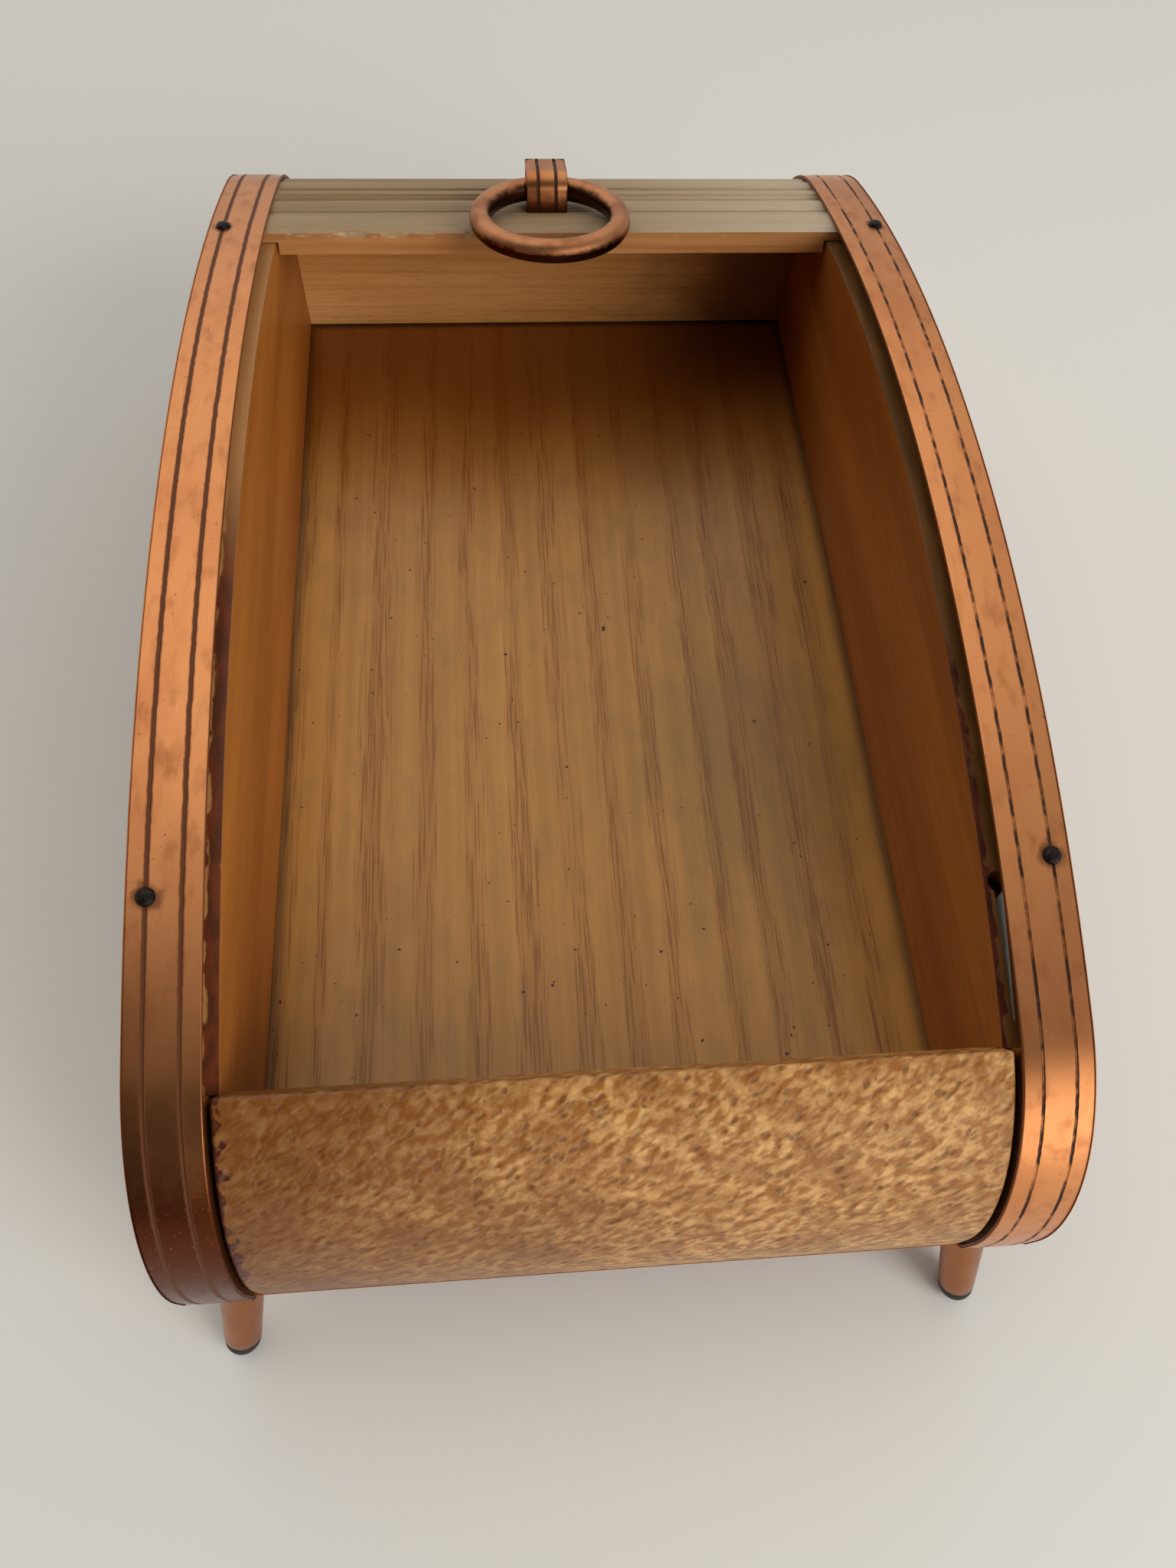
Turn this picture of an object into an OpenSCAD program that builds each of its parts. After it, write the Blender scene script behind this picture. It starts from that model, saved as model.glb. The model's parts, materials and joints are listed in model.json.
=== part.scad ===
// Tambour lid box: a wooden box with a slatted lid that slides along curved tracks,
// copper bands over its two sides, a ring pull on a copper strap and four splayed feet.
// Frame: X to the right, Y to the rear, Z up. The origin is on the ground, under the middle.
// Most pieces are outlines in the Y-Z plane, extruded along X.

/* [Box] */
// Width over the two copper bands
box_w = 160; // [130:1:200]
// Depth from front to rear
box_d = 281; // [262:1:320]
// Height of the crown above the ground
top_z = 100; // [92:1:125]
// Height of the underside, which the feet hold off the ground
body_z = 30; // [20:0.5:36]

/* [Side profile] */
// Radius of the upper front and rear corners
corner_r = 44.8; // [42:0.2:50]
// How much the long crown arc rises above the tops of the corner arcs
crown_rise = 15.7; // [12:0.1:18]
// Radius of the lower front and rear corners
foot_corner_r = 5; // [4:0.5:8]

/* [Boards] */
// Thickness of the outer side boards
side_t = 7; // [5:0.5:9]
// Thickness of the inner sides, whose upper edges are the tracks
inner_side_t = 7.5; // [6.5:0.5:9]
// Thickness of the base board
base_t = 3.5; // [3:0.25:5]
// Height of the inner floor's upper face
floor_z = 43; // [42:0.5:50]
// Thickness of the inner floor
floor_t = 5.4; // [4:0.1:5.5]
// Distance from the rear end to the inner back panel's face
back_in = 35.1; // [33:0.2:45]
// Thickness of the inner back panel
back_t = 4; // [3:0.5:5]
// Gap between the inner back panel's upper edge and the cloth over it
back_clear = 2.5; // [1:0.5:8]
// Thickness of the curved front board
front_t = 7.5; // [6:0.5:9]
// Distance from the front end to the front board's upper edge
front_edge_in = 27.2; // [26:0.1:34]
// Gap between the front board's ends and the bands
front_end_gap = 0.8; // [0.3:0.1:1.5]
// Clearance between boards that are glued to each other
glue_gap = 0.05; // [0.02:0.01:0.1]

/* [Bands] */
// Width of the copper bands
band_w = 12.7; // [10.5:0.1:16]
// Thickness of the copper bands
band_t = 0.8; // [0.5:0.1:1.2]
// Width of each engraved line
line_w = 0.6; // [0.3:0.1:1]
// Depth of each engraved line
line_depth = 0.25; // [0.1:0.05:0.3]
// How far each band runs in under the base, over the feet
band_return = 6; // [4:0.5:12]

/* [Nails] */
// Diameter of a nail's head
nail_head_d = 3.3; // [2.5:0.1:4]
// Height of a nail's head
nail_head_h = 0.8; // [0.5:0.1:1.2]
// Diameter of a nail's shank
nail_d = 1.4; // [1:0.1:1.8]
// Length of a nail's shank below its head
nail_l = 8; // [5:0.5:11]
// Distance from the front and rear ends to the band nails
nail_in = 58; // [50:1:80]
// Distance from the front end to the track nail and its hole
track_nail_in = 55.5; // [50:0.5:80]
// Distance of the track nail from the inner face of the right-hand inner side
track_nail_out = 2.5; // [2.3:0.1:3.5]
// Diameter of the hole that the track nail is sunk in
track_hole_d = 3.6; // [3.4:0.1:4.4]
// How deep the track nail's head is sunk
track_hole_depth = 3; // [2:0.5:5]
// Length of the tapering slit ahead of the track nail
slit_l = 23; // [10:1:24]
// Width of the slit at the nail
slit_w = 1.6; // [1:0.1:3]
// Depth of the slit
slit_depth = 9; // [5:0.5:12]

/* [Tambour] */
// Width of the lead slat
lead_w = 12.5; // [9:0.25:13.5]
// Height of the lead slat's front face
lead_t = 5.6; // [4:0.1:7]
// Width of the lead slat's deep front lip
lead_lip = 5.4; // [4:0.1:6]
// Spacing of the other slats along the cloth
slat_pitch = 7.5; // [7:0.1:8]
// Thickness of the slats
slat_t = 2.8; // [2:0.1:3.2]
// Width of the fine gap between slats
slat_gap = 0.25; // [0.15:0.05:0.5]
// Radius of the slats' rounded upper faces
slat_round = 9; // [7:0.5:11]
// Radius of the lead slat's rounded upper face
lead_round = 24; // [16:1:32]
// Gap between the slats' ends and the outer side boards
slat_end_gap = 1.5; // [1:0.1:2]
// Thickness of the backing cloth
cloth_t = 0.3; // [0.2:0.05:0.4]
// Distance from the rear end to the open lid's front edge
lip_in = 58; // [55:0.5:70]
// Length of lid that stays behind the front edge when the lid is shut
tail_cover = 76; // [60:1:90]
// Running clearance of the slats in their tracks
run_gap = 0.15; // [0.1:0.05:0.2]
// Radius of the tight turn that the slats take at the bottom of the back
turn_r = 12; // [11:0.5:13]

/* [Ring pull] */
// Diameter of the ring over its outside
ring_d = 37.4; // [32:0.1:44]
// Thickness of the ring's round rod
rod_d = 5; // [3.5:0.1:5.2]
// Angle of the resting ring to the slat under it
ring_lean = 4.4; // [1:0.1:4.4]
// Width of the strap
strap_w = 9.8; // [7:0.1:10.5]
// Thickness of the strap
strap_t = 0.7; // [0.5:0.05:0.9]
// Clearance between the strap and the turning ring
strap_gap = 0.1; // [0.05:0.05:0.2]
// Radius of the strap's wide front bend, inside
strap_bend = 3.3; // [1:0.1:3.4]
// Radius of the strap's rear bend, inside
rear_bend = 1.5; // [0.8:0.1:2.4]
// Length of the strap's free end, behind its loop
strap_tail = 3; // [0.5:0.1:4]
// How far the strap stands to the right of the middle
strap_x = -1.5; // [-5:0.1:5]

/* [Feet] */
// Distance from the box's sides to the middle of each foot's top
foot_in_x = 9; // [7:0.5:12]
// Distance from the front and rear ends to the middle of each foot's top
foot_in_y = 6; // [5.5:0.5:9]
// How far a foot leans outward, along the width
foot_lean_x = 4.5; // [2:0.5:9]
// How far a foot leans outward, along the depth
foot_lean_y = 10.5; // [2:0.5:12]
// Diameter of the tube at its top
tube_top_d = 9; // [7:0.1:10]
// Diameter of the tube at its bottom
tube_foot_d = 7.4; // [6:0.1:9]
// Wall of the tube
tube_wall = 0.8; // [0.5:0.1:1.2]
// Radius of the domed glide
glide_r = 3.6; // [3:0.1:4]
// How much of the dome is worn flat where it stands
glide_flat = 0.3; // [0.2:0.05:0.6]
// Length of the glide's plug in the tube
plug_l = 5; // [3:0.5:8]

/* [Hidden] */
LAST_SLAT = 30;

SMOOTH = 96;
ARC_SMOOTH = 720;
eps = 0.01;
// The corner arcs lie this far inside the crown arc, so that the two never cross as they meet
seam = 0.01;
half_w = box_w / 2;
half_d = box_d / 2;

// The side profile: a crown arc, and corner arcs that meet it and the upright ends smoothly
corner_y = half_d - corner_r;
corner_z = top_z - crown_rise - corner_r;
crown_r = (corner_y * corner_y + pow(crown_rise + corner_r, 2) - corner_r * corner_r) / (2 * crown_rise);
crown_z = top_z - crown_r;
crown_a = asin(corner_y / (crown_r - corner_r));

// Places of the bands' two engraved lines, as shares of the band's width from its outer edge
marks = [0.27, 0.73];

// The boards across the width
side_in = half_w - side_t;
inner_in = side_in - inner_side_t;
band_in = half_w - band_w;
band_z = body_z - band_t;
base_top = body_z + base_t;
floor_under = floor_z - floor_t;
front_half = band_in - front_end_gap;
front_out = band_t + 0.2;

// The path of the slats' outer faces: crown arc, corner arc, tight turn, then forward
path_off = band_t + run_gap;
path_r = crown_r - path_off;
bend_r = corner_r - path_off;
store_z = base_top + run_gap;
turn_a = acos((store_z + turn_r - corner_z) / (bend_r - turn_r));
turn_y = corner_y + (bend_r - turn_r) * sin(turn_a);
turn_z = corner_z + (bend_r - turn_r) * cos(turn_a);
track_off = path_off + slat_t + run_gap;
slat_half = side_in - slat_end_gap;
slat_w = slat_pitch - slat_gap;

// Lengths along the cloth, which keeps the slats' spacing
lip_a = asin((half_d - lip_in) / path_r);
crown_len = (crown_a - lip_a) * PI / 180 * (path_r - slat_t);
bend_len = (turn_a - crown_a) * PI / 180 * (bend_r - slat_t);
turn_len = (180 - turn_a) * PI / 180 * (turn_r - slat_t);
front_a = asin((half_d - front_edge_in) / path_r);
travel = (lip_a + front_a) * PI / 180 * (path_r - slat_t);
tail_slats = max(ceil((travel + tail_cover - lead_w) / slat_pitch) - LAST_SLAT, 1);

// The inner back panel stands clear of the cloth, which is lowest at the panel's rear face
back_y = half_d - back_in;
back_off = path_off + slat_t + cloth_t + back_clear;
back_rise = back_y + back_t < crown_r * sin(crown_a)
    ? sqrt(pow(crown_r - back_off, 2) - pow(back_y + back_t, 2)) + crown_z
    : sqrt(pow(corner_r - back_off, 2) - pow(back_y + back_t - corner_y, 2)) + corner_z;

// The strap's closed loop goes round the first slat and the ring's rod
rod_r = rod_d / 2;
ring_r = ring_d / 2 - rod_r;
hole_r = ring_r - rod_r;
rod_sway = hole_r - sqrt(hole_r * hole_r - strap_w * strap_w / 4);
eye_r = rod_r + rod_sway + strap_gap;
pin_lift = eye_r + strap_gap;
first_back = lead_w + slat_gap / 2 + slat_w;
loop_half = eye_r + strap_t;
loop_s = first_back - loop_half - strap_gap;
loop_top = pin_lift + loop_half;
loop_under = slat_t + cloth_t + strap_gap + strap_t;

function slat_name(i) = str("slat_", i < 10 ? "0" : "", i);
function slat_s(i) = lead_w + (i - 0.5) * slat_pitch;

// Places its children, drawn at the outer face with Z as the outward normal, at the length
// s behind the lid's front edge
module on_path(s) {
    after_crown = s - crown_len;
    after_bend = after_crown - bend_len;
    after_turn = after_bend - turn_len;
    if (after_crown < 0) {
        angle = lip_a + s / (path_r - slat_t) * 180 / PI;
        translate([0, 0, crown_z]) rotate([-angle, 0, 0]) translate([0, 0, path_r]) children();
    } else if (after_bend < 0) {
        angle = crown_a + after_crown / (bend_r - slat_t) * 180 / PI;
        translate([0, corner_y, corner_z]) rotate([-angle, 0, 0]) translate([0, 0, bend_r]) children();
    } else if (after_turn < 0) {
        angle = turn_a + after_bend / (turn_r - slat_t) * 180 / PI;
        translate([0, turn_y, turn_z]) rotate([-angle, 0, 0]) translate([0, 0, turn_r]) children();
    } else {
        translate([0, turn_y - after_turn, turn_z]) rotate([180, 0, 0]) translate([0, 0, turn_r]) children();
    }
}

// Extrudes a Y-Z outline along X from x0 to x1
module along_x(x0, x1) {
    translate([x0, 0, 0]) rotate([90, 0, 90]) linear_extrude(x1 - x0) children();
}

// The region within the bands' outer face, drawn in by the distance off. Its lower corners
// have the radius low_r before that, and it goes down to the height z0.
module profile(off, z0 = band_z, low_r = foot_corner_r) {
    reach = crown_r * 0.6;
    bottom = z0 == band_z ? band_z + off : z0;
    r_low = max(low_r - off, 0.5);
    y_low = half_d - off - r_low;
    intersection() {
        union() {
            intersection() {
                translate([0, crown_z]) circle(crown_r - off, $fn = ARC_SMOOTH);
                polygon([
                    [0, crown_z],
                    [-2 * crown_r * sin(crown_a), crown_z + 2 * crown_r * cos(crown_a)],
                    [2 * crown_r * sin(crown_a), crown_z + 2 * crown_r * cos(crown_a)]
                ]);
            }
            for (side = [-1, 1]) translate([side * corner_y, corner_z]) {
                circle(corner_r - off - seam, $fn = ARC_SMOOTH);
            }
            translate([-half_d + off, bottom]) square([2 * (half_d - off), corner_z - bottom]);
        }
        union() {
            translate([-half_d, bottom + r_low]) square([box_d, reach]);
            translate([-y_low, bottom]) square([2 * y_low, reach]);
            for (side = [-1, 1]) translate([side * y_low, bottom + r_low]) circle(r_low, $fn = SMOOTH);
        }
    }
}

// The part of the profile ahead of the front board's upper edge
module front_of_edge(gap = 0) {
    far = 2 * crown_r;
    edge_a = front_a - asin(gap / crown_r);
    polygon([
        [0, crown_z],
        [-far * sin(edge_a), crown_z + far * cos(edge_a)],
        [-far, crown_z + far * cos(edge_a)],
        [-far, crown_z]
    ]);
}

// The region inside the loop of slats, which the tracks run round
module inside_track(off) {
    floor_line = store_z + (off - path_off);
    tight = turn_r - (off - path_off);
    difference() {
        profile(off, floor_line, 0.5 + off);
        translate([turn_y, floor_line - eps]) square([half_d, turn_z - floor_line + eps]);
    }
    translate([turn_y, turn_z]) intersection() {
        circle(tight, $fn = SMOOTH);
        translate([-eps, -turn_r]) square(2 * turn_r);
    }
}

// Places its children at each of the four feet, with Z down the foot's axis
module at_foot(x_side, y_side) {
    lean_len = norm([foot_lean_x, foot_lean_y]);
    translate([x_side * (half_w - foot_in_x), y_side * (half_d - foot_in_y), band_z])
        rotate([0, 0, atan2(y_side * foot_lean_y, x_side * foot_lean_x)])
            rotate([0, 180 - atan(lean_len / foot_drop), 0]) children();
}

// The drop and the length of a foot's axis, from the band to the centre of the glide
foot_drop = band_z - glide_r + glide_flat;
foot_len = norm([foot_lean_x, foot_lean_y, foot_drop]);
tube_end = foot_len - glide_r * 0.4;

// Places its children on top of the bands, at each of the four nails
module at_nails() {
    nail_x = half_w - marks[0] * band_w;
    nail_a = asin((half_d - nail_in) / crown_r);
    for (x_side = [-1, 1], y_side = [-1, 1]) {
        translate([x_side * nail_x, 0, crown_z]) rotate([-y_side * nail_a, 0, 0])
            translate([0, 0, crown_r]) children();
    }
}

module nail_holes() {
    at_nails() translate([0, 0, -nail_l - band_t]) {
        cylinder(d = nail_d + 0.1, h = nail_l + 2 * band_t, $fn = 32);
    }
}

module base_board() {
    color("#8a6238") along_x(-half_w, half_w) intersection() {
        profile(band_t + glue_gap);
        translate([-half_d, 0]) square([box_d, base_top]);
    }
}

module side_board(side) {
    x0 = side < 0 ? -half_w : side_in;
    color("#9a7044") difference() {
        along_x(x0, x0 + side_t) intersection() {
            profile(band_t + glue_gap);
            translate([-half_d, base_top + glue_gap]) square([box_d, top_z]);
        }
        nail_holes();
    }
}

// Places its children at the track nail, on the right-hand track's surface
module at_track_nail() {
    track_nail_y = half_d - track_nail_in;
    nail_z = crown_z + sqrt(pow(crown_r - track_off, 2) - track_nail_y * track_nail_y);
    translate([inner_in + track_nail_out, -track_nail_y, nail_z]) children();
}

// The track nail's hole, and the tapering slit that runs forward from it
module track_slit() {
    narrow_end = [0.2, -slit_l];
    at_track_nail() {
        translate([0, 0, -track_hole_depth]) cylinder(d = track_hole_d, h = slit_depth, $fn = 48);
        translate([0, 0, -nail_l - track_hole_depth]) cylinder(d = nail_d + 0.1, h = nail_l + 1, $fn = 32);
        translate([0, 0, -slit_depth]) linear_extrude(2 * slit_depth) {
            polygon([[-slit_w / 2, -1], [slit_w / 2, -1], narrow_end, narrow_end - [0.4, 0]]);
        }
    }
}

module inner_side(side) {
    face = side < 0 ? -side_in + glue_gap : inner_in;
    cheek = side < 0 ? -side_in + glue_gap : front_half + front_end_gap;
    cheek_t = side_in - glue_gap - front_half - front_end_gap;
    color("#9c6a38") difference() {
        union() {
            along_x(face, face + inner_side_t - glue_gap) difference() {
                inside_track(track_off);
                // Room for the front board's end
                difference() {
                    front_of_edge(glue_gap);
                    profile(front_out + front_t + glue_gap, 0, 0);
                }
            }
            // Beside the front board's ends the track runs on to the board's top edge
            along_x(cheek, cheek + cheek_t) intersection() {
                inside_track(track_off);
                translate([-half_d, base_top + glue_gap]) square([half_d - corner_y + 1, top_z]);
            }
            along_x(cheek, cheek + cheek_t) intersection() {
                profile(band_t + glue_gap);
                front_of_edge();
                translate([-half_d, base_top + glue_gap]) square([half_d, top_z]);
            }
        }
        if (side > 0) track_slit();
    }
}

module inner_floor() {
    board_r = corner_r - front_out - front_t;
    rise = max(floor_z - corner_z, 0);
    inner_front = corner_y + sqrt(board_r * board_r - rise * rise) - glue_gap;
    color("#b08a5e") translate([-inner_in + glue_gap, -inner_front, floor_under]) {
        cube([2 * (inner_in - glue_gap), inner_front + back_y + back_t, floor_t]);
    }
}

module inner_back() {
    color("#a5743f") translate([-inner_in + glue_gap, back_y, floor_z + glue_gap]) {
        cube([2 * (inner_in - glue_gap), back_t, back_rise - floor_z - glue_gap]);
    }
}

module front_board() {
    color("#c08a4e") along_x(-front_half, front_half) intersection() {
        difference() {
            profile(front_out);
            profile(front_out + front_t, 0, 0);
        }
        front_of_edge();
        translate([-half_d, base_top + glue_gap]) square([half_d - corner_y / 2, top_z]);
    }
}

// The rail across the bottom of the back, hollowed for the slats' tight turn
module rear_rail() {
    rail_y = turn_y + 3;
    rail_top = turn_z - turn_r / 3;
    color("#8a6238") along_x(-side_in + glue_gap, side_in - glue_gap) difference() {
        intersection() {
            profile(front_out);
            translate([rail_y, base_top + glue_gap]) square([half_d, rail_top - base_top - glue_gap]);
        }
        translate([turn_y, turn_z]) circle(turn_r + run_gap, $fn = SMOOTH);
    }
}

// One copper band: a strip bent over the side, with two engraved lines
module band(side) {
    x0 = side < 0 ? -half_w : half_w;
    dir = -side;
    color("#b87848") difference() {
        along_x(side < 0 ? -half_w : band_in, side < 0 ? -band_in : half_w) band_outline();
        for (mark = marks) translate([x0 + dir * mark * band_w, 0, 0]) {
            along_x(-line_w / 2, line_w / 2) difference() {
                profile(-1);
                profile(line_depth);
            }
        }
        nail_holes();
    }
}

module band_outline() {
    gap_half = half_d - foot_corner_r - band_return;
    difference() {
        profile(0);
        profile(band_t);
        translate([-gap_half, 0]) square([2 * gap_half, base_top]);
    }
}

module nail() {
    translate([0, 0, -nail_l]) cylinder(d = nail_d, h = nail_l + nail_head_h / 2, $fn = 32);
    intersection() {
        cylinder(d = nail_head_d, h = nail_head_h, $fn = 48);
        translate([0, 0, nail_head_h - nail_head_d]) sphere(nail_head_d, $fn = SMOOTH);
    }
}

module band_nails() {
    color("#201a18") at_nails() nail();
}

module track_nail() {
    color("#151313") at_track_nail() translate([0, 0, -track_hole_depth]) nail();
}

// A slat's section: flat back and sides, rounded outer face
module slat_outline(width, thick, round_r) {
    intersection() {
        translate([-width / 2, -thick]) square([width, thick]);
        translate([0, -round_r]) circle(round_r, $fn = SMOOTH);
    }
}

module slat(i) {
    color("#94805e") difference() {
        on_path(slat_s(i)) along_x(-slat_half, slat_half) slat_outline(slat_w, slat_t, slat_round);
        if (i == 1) strap_space();
    }
}

module slats_tail() {
    for (i = [LAST_SLAT + 1:LAST_SLAT + tail_slats]) slat(i);
}

module lead_slat() {
    width = lead_w - slat_gap / 2;
    lip_half = inner_in - 0.6;
    color("#a5804f") difference() {
        on_path(width / 2) {
            along_x(-slat_half, slat_half) slat_outline(width, slat_t, lead_round);
            along_x(-lip_half, lip_half) translate([-width / 2, -lead_t]) {
                square([lead_lip, lead_t - slat_t + eps]);
            }
        }
        strap_space();
    }
}

// The strap's loop, as an outline with rounded corners, grown by the distance more
module loop_outline(more) {
    half = eye_r + more;
    low = loop_under - strap_t + more;
    high = pin_lift + eye_r + more;
    front = strap_bend + more;
    rear = rear_bend + more;
    translate([-half, -low]) square([2 * half, low + high - front]);
    translate([-half + front, 0]) square([2 * half - front - rear, high]);
    translate([0, 0]) square([half, high - rear]);
    translate([-half + front, high - front]) circle(front, $fn = 48);
    translate([half - rear, high - rear]) circle(rear, $fn = 48);
}

// Places its children at the strap's loop, on the outer face of the first slat
module at_strap() {
    on_path(loop_s) translate([strap_x, 0, 0]) children();
}

module strap_space() {
    at_strap() along_x(-strap_w / 2 - strap_gap, strap_w / 2 + strap_gap) difference() {
        loop_outline(strap_t + strap_gap);
        translate([-eye_r + strap_gap, -loop_under]) square([2 * (eye_r - strap_gap), loop_under]);
    }
}

module pull_strap() {
    color("#b06a3c") at_strap() along_x(-strap_w / 2, strap_w / 2) {
        difference() {
            loop_outline(strap_t);
            loop_outline(0);
        }
        translate([0, loop_top - strap_t]) square([loop_half + strap_tail, strap_t]);
    }
}

module pull_ring() {
    color("#a8683c") at_strap() translate([0, 0, pin_lift]) rotate([ring_lean, 0, 0])
        translate([0, -ring_r, 0]) rotate_extrude($fn = 180) translate([ring_r, 0]) circle(rod_r, $fn = 48);
}

// A strip of the backing cloth under the slats, from the length s0 to the length s1
module cloth_on_crown(s0, s1) {
    r_out = path_r - slat_t - 0.03;
    a0 = lip_a + s0 / (path_r - slat_t) * 180 / PI;
    a1 = lip_a + s1 / (path_r - slat_t) * 180 / PI;
    far = 2 * crown_r;
    translate([0, crown_z]) intersection() {
        difference() {
            circle(r_out, $fn = ARC_SMOOTH);
            circle(r_out - cloth_t, $fn = ARC_SMOOTH);
        }
        polygon([[0, 0], [far * sin(a0), far * cos(a0)], [far * sin(a1), far * cos(a1)]]);
    }
}

cloth_half = inner_in - 1.2;
module lid_cloth() {
    color("#6b5a44") difference() {
        along_x(-cloth_half, cloth_half) cloth_on_crown(lead_lip + 0.3, first_back);
        strap_space();
        at_strap() translate([-strap_w / 2 - strap_gap, -loop_half, -2 * loop_under]) {
            cube([strap_w + 2 * strap_gap, 2 * loop_half, 2 * loop_under - slat_t]);
        }
    }
}

// The stored cloth: crown arc, corner arc and tight turn, then a flat run under the floor
module stored_cloth() {
    drop = slat_t + 0.03;
    total = slat_s(LAST_SLAT + tail_slats) + slat_w / 2 - crown_len - bend_len - turn_len;
    color("#6b5a44") along_x(-cloth_half, cloth_half) {
        cloth_on_crown(first_back + slat_gap, crown_len);
        arc_strip(corner_y, corner_z, bend_r - drop, crown_a, turn_a);
        arc_strip(turn_y, turn_z, turn_r - drop, turn_a, 180);
        translate([turn_y - total, turn_z - turn_r + drop]) square([total, cloth_t]);
    }
}

module arc_strip(y0, z0, r_out, a0, a1) {
    far = 2 * r_out;
    mid = (a0 + a1) / 2;
    translate([y0, z0]) intersection() {
        difference() {
            circle(r_out, $fn = SMOOTH * 2);
            circle(r_out - cloth_t, $fn = SMOOTH * 2);
        }
        polygon([
            [0, 0],
            [far * sin(a0), far * cos(a0)],
            [far * sin(mid), far * cos(mid)],
            [far * sin(a1), far * cos(a1)]
        ]);
    }
}

// A tapered tube, whose upper end is cut to the curve of the band that it stands under
module foot_tube(x_side, y_side) {
    spare = foot_corner_r;
    color("#b87848") difference() {
        at_foot(x_side, y_side) difference() {
            union() {
                translate([0, 0, -spare]) cylinder(d = tube_top_d, h = spare, $fn = SMOOTH);
                cylinder(d1 = tube_top_d, d2 = tube_foot_d, h = tube_end, $fn = SMOOTH);
            }
            translate([0, 0, -2 * spare]) {
                cylinder(d = tube_foot_d - 2 * tube_wall, h = tube_end + 3 * spare, $fn = SMOOTH);
            }
        }
        along_x(-box_w, box_w) profile(-glue_gap);
    }
}

// A plug in the tube with a dome below it, which is worn flat where it stands
module glide(x_side, y_side) {
    plug_d = tube_foot_d - 2 * tube_wall - 0.1;
    tip_x = half_w - foot_in_x + foot_lean_x;
    tip_y = half_d - foot_in_y + foot_lean_y;
    tip = [x_side * tip_x, y_side * tip_y, glide_r - glide_flat];
    color("#1c1a1a") {
        at_foot(x_side, y_side) translate([0, 0, tube_end - plug_l]) {
            cylinder(d = plug_d, h = plug_l + glide_r * 0.4, $fn = SMOOTH);
        }
        difference() {
            translate(tip) sphere(glide_r, $fn = SMOOTH);
            translate(tip - [box_w, box_w, box_w + glide_r - glide_flat]) cube([2 * box_w, 2 * box_w, box_w]);
            at_foot(x_side, y_side) translate([0, 0, tube_end + glue_gap - 4 * glide_r]) {
                cylinder(r = 4 * glide_r, h = 4 * glide_r, $fn = SMOOTH);
            }
        }
    }
}

base_board();
side_board(-1);  // side_board_left
side_board(1);  // side_board_right
inner_side(-1);  // inner_side_left
inner_side(1);  // inner_side_right
inner_floor();
inner_back();
front_board();
rear_rail();
band(-1);  // band_left
band(1);  // band_right
band_nails();
track_nail();
lead_slat();
for (i = [1:LAST_SLAT]) {
    slat(i);
}
slats_tail();
lid_cloth();
stored_cloth();
pull_strap();
pull_ring();
foot_tube(-1, -1);  // foot_front_left
foot_tube(1, -1);  // foot_front_right
foot_tube(-1, 1);  // foot_rear_left
foot_tube(1, 1);  // foot_rear_right
glide(-1, -1);  // glide_front_left
glide(1, -1);  // glide_front_right
glide(-1, 1);  // glide_rear_left
glide(1, 1);  // glide_rear_right
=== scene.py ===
# %% [markdown]
# # A tambour lid box
#
# The box is a low wooden tray with curved sides. Two copper bands lie over the sides, and a lid
# of thin slats glued to cloth slides in a track under them. The lid is drawn back, so that the
# tray is open. This file gives the model its looks, cell by cell: first the fixed frame and the
# camera, then each piece with the material that it is made of, and last the table and the light.

# %% Load the frame
import json
import math

import bmesh
import bpy
import numpy as np
from mathutils import Matrix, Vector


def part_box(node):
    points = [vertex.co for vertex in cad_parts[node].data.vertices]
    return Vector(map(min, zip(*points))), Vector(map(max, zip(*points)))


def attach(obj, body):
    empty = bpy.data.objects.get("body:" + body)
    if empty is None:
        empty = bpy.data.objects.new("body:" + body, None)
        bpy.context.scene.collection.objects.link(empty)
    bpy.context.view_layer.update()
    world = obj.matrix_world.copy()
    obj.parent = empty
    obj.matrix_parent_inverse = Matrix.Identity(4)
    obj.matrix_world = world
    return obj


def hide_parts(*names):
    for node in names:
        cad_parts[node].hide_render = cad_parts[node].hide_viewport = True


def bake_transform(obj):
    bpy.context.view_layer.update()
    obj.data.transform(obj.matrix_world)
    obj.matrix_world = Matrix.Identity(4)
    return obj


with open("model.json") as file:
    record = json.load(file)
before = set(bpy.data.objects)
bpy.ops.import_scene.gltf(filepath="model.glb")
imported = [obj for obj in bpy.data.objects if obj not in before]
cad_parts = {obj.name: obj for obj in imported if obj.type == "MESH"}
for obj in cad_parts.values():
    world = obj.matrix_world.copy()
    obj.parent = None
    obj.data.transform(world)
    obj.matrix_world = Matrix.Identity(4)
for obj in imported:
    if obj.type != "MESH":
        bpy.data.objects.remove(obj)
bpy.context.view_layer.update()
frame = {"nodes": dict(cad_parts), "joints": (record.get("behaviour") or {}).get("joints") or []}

nodes = frame["nodes"]

# %% [markdown]
# ## Sizes from the frame
#
# Every size starts from the pieces that are already there, so that a surface made here lies
# where the construction has it. The side of the box is one outline: a flat underside, a small
# lower corner, an upright end, a large corner and the long crown arc, and the same again.

# %% Sizes, in metres
MM = 0.001
travel = next(j for j in frame["joints"] if j["name"] == "tambour_travel")
swing = next(j for j in frame["joints"] if j["name"] == "ring_swing")
band_low, band_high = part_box("band_right")
half_w, half_d, top_z = band_high
band_z = band_low.z
band_w = half_w - band_low.x
crown_z = travel["pos_m"][2]
crown_r = top_z - crown_z
lid_turn = math.radians(travel["range_deg"][1])

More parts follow.
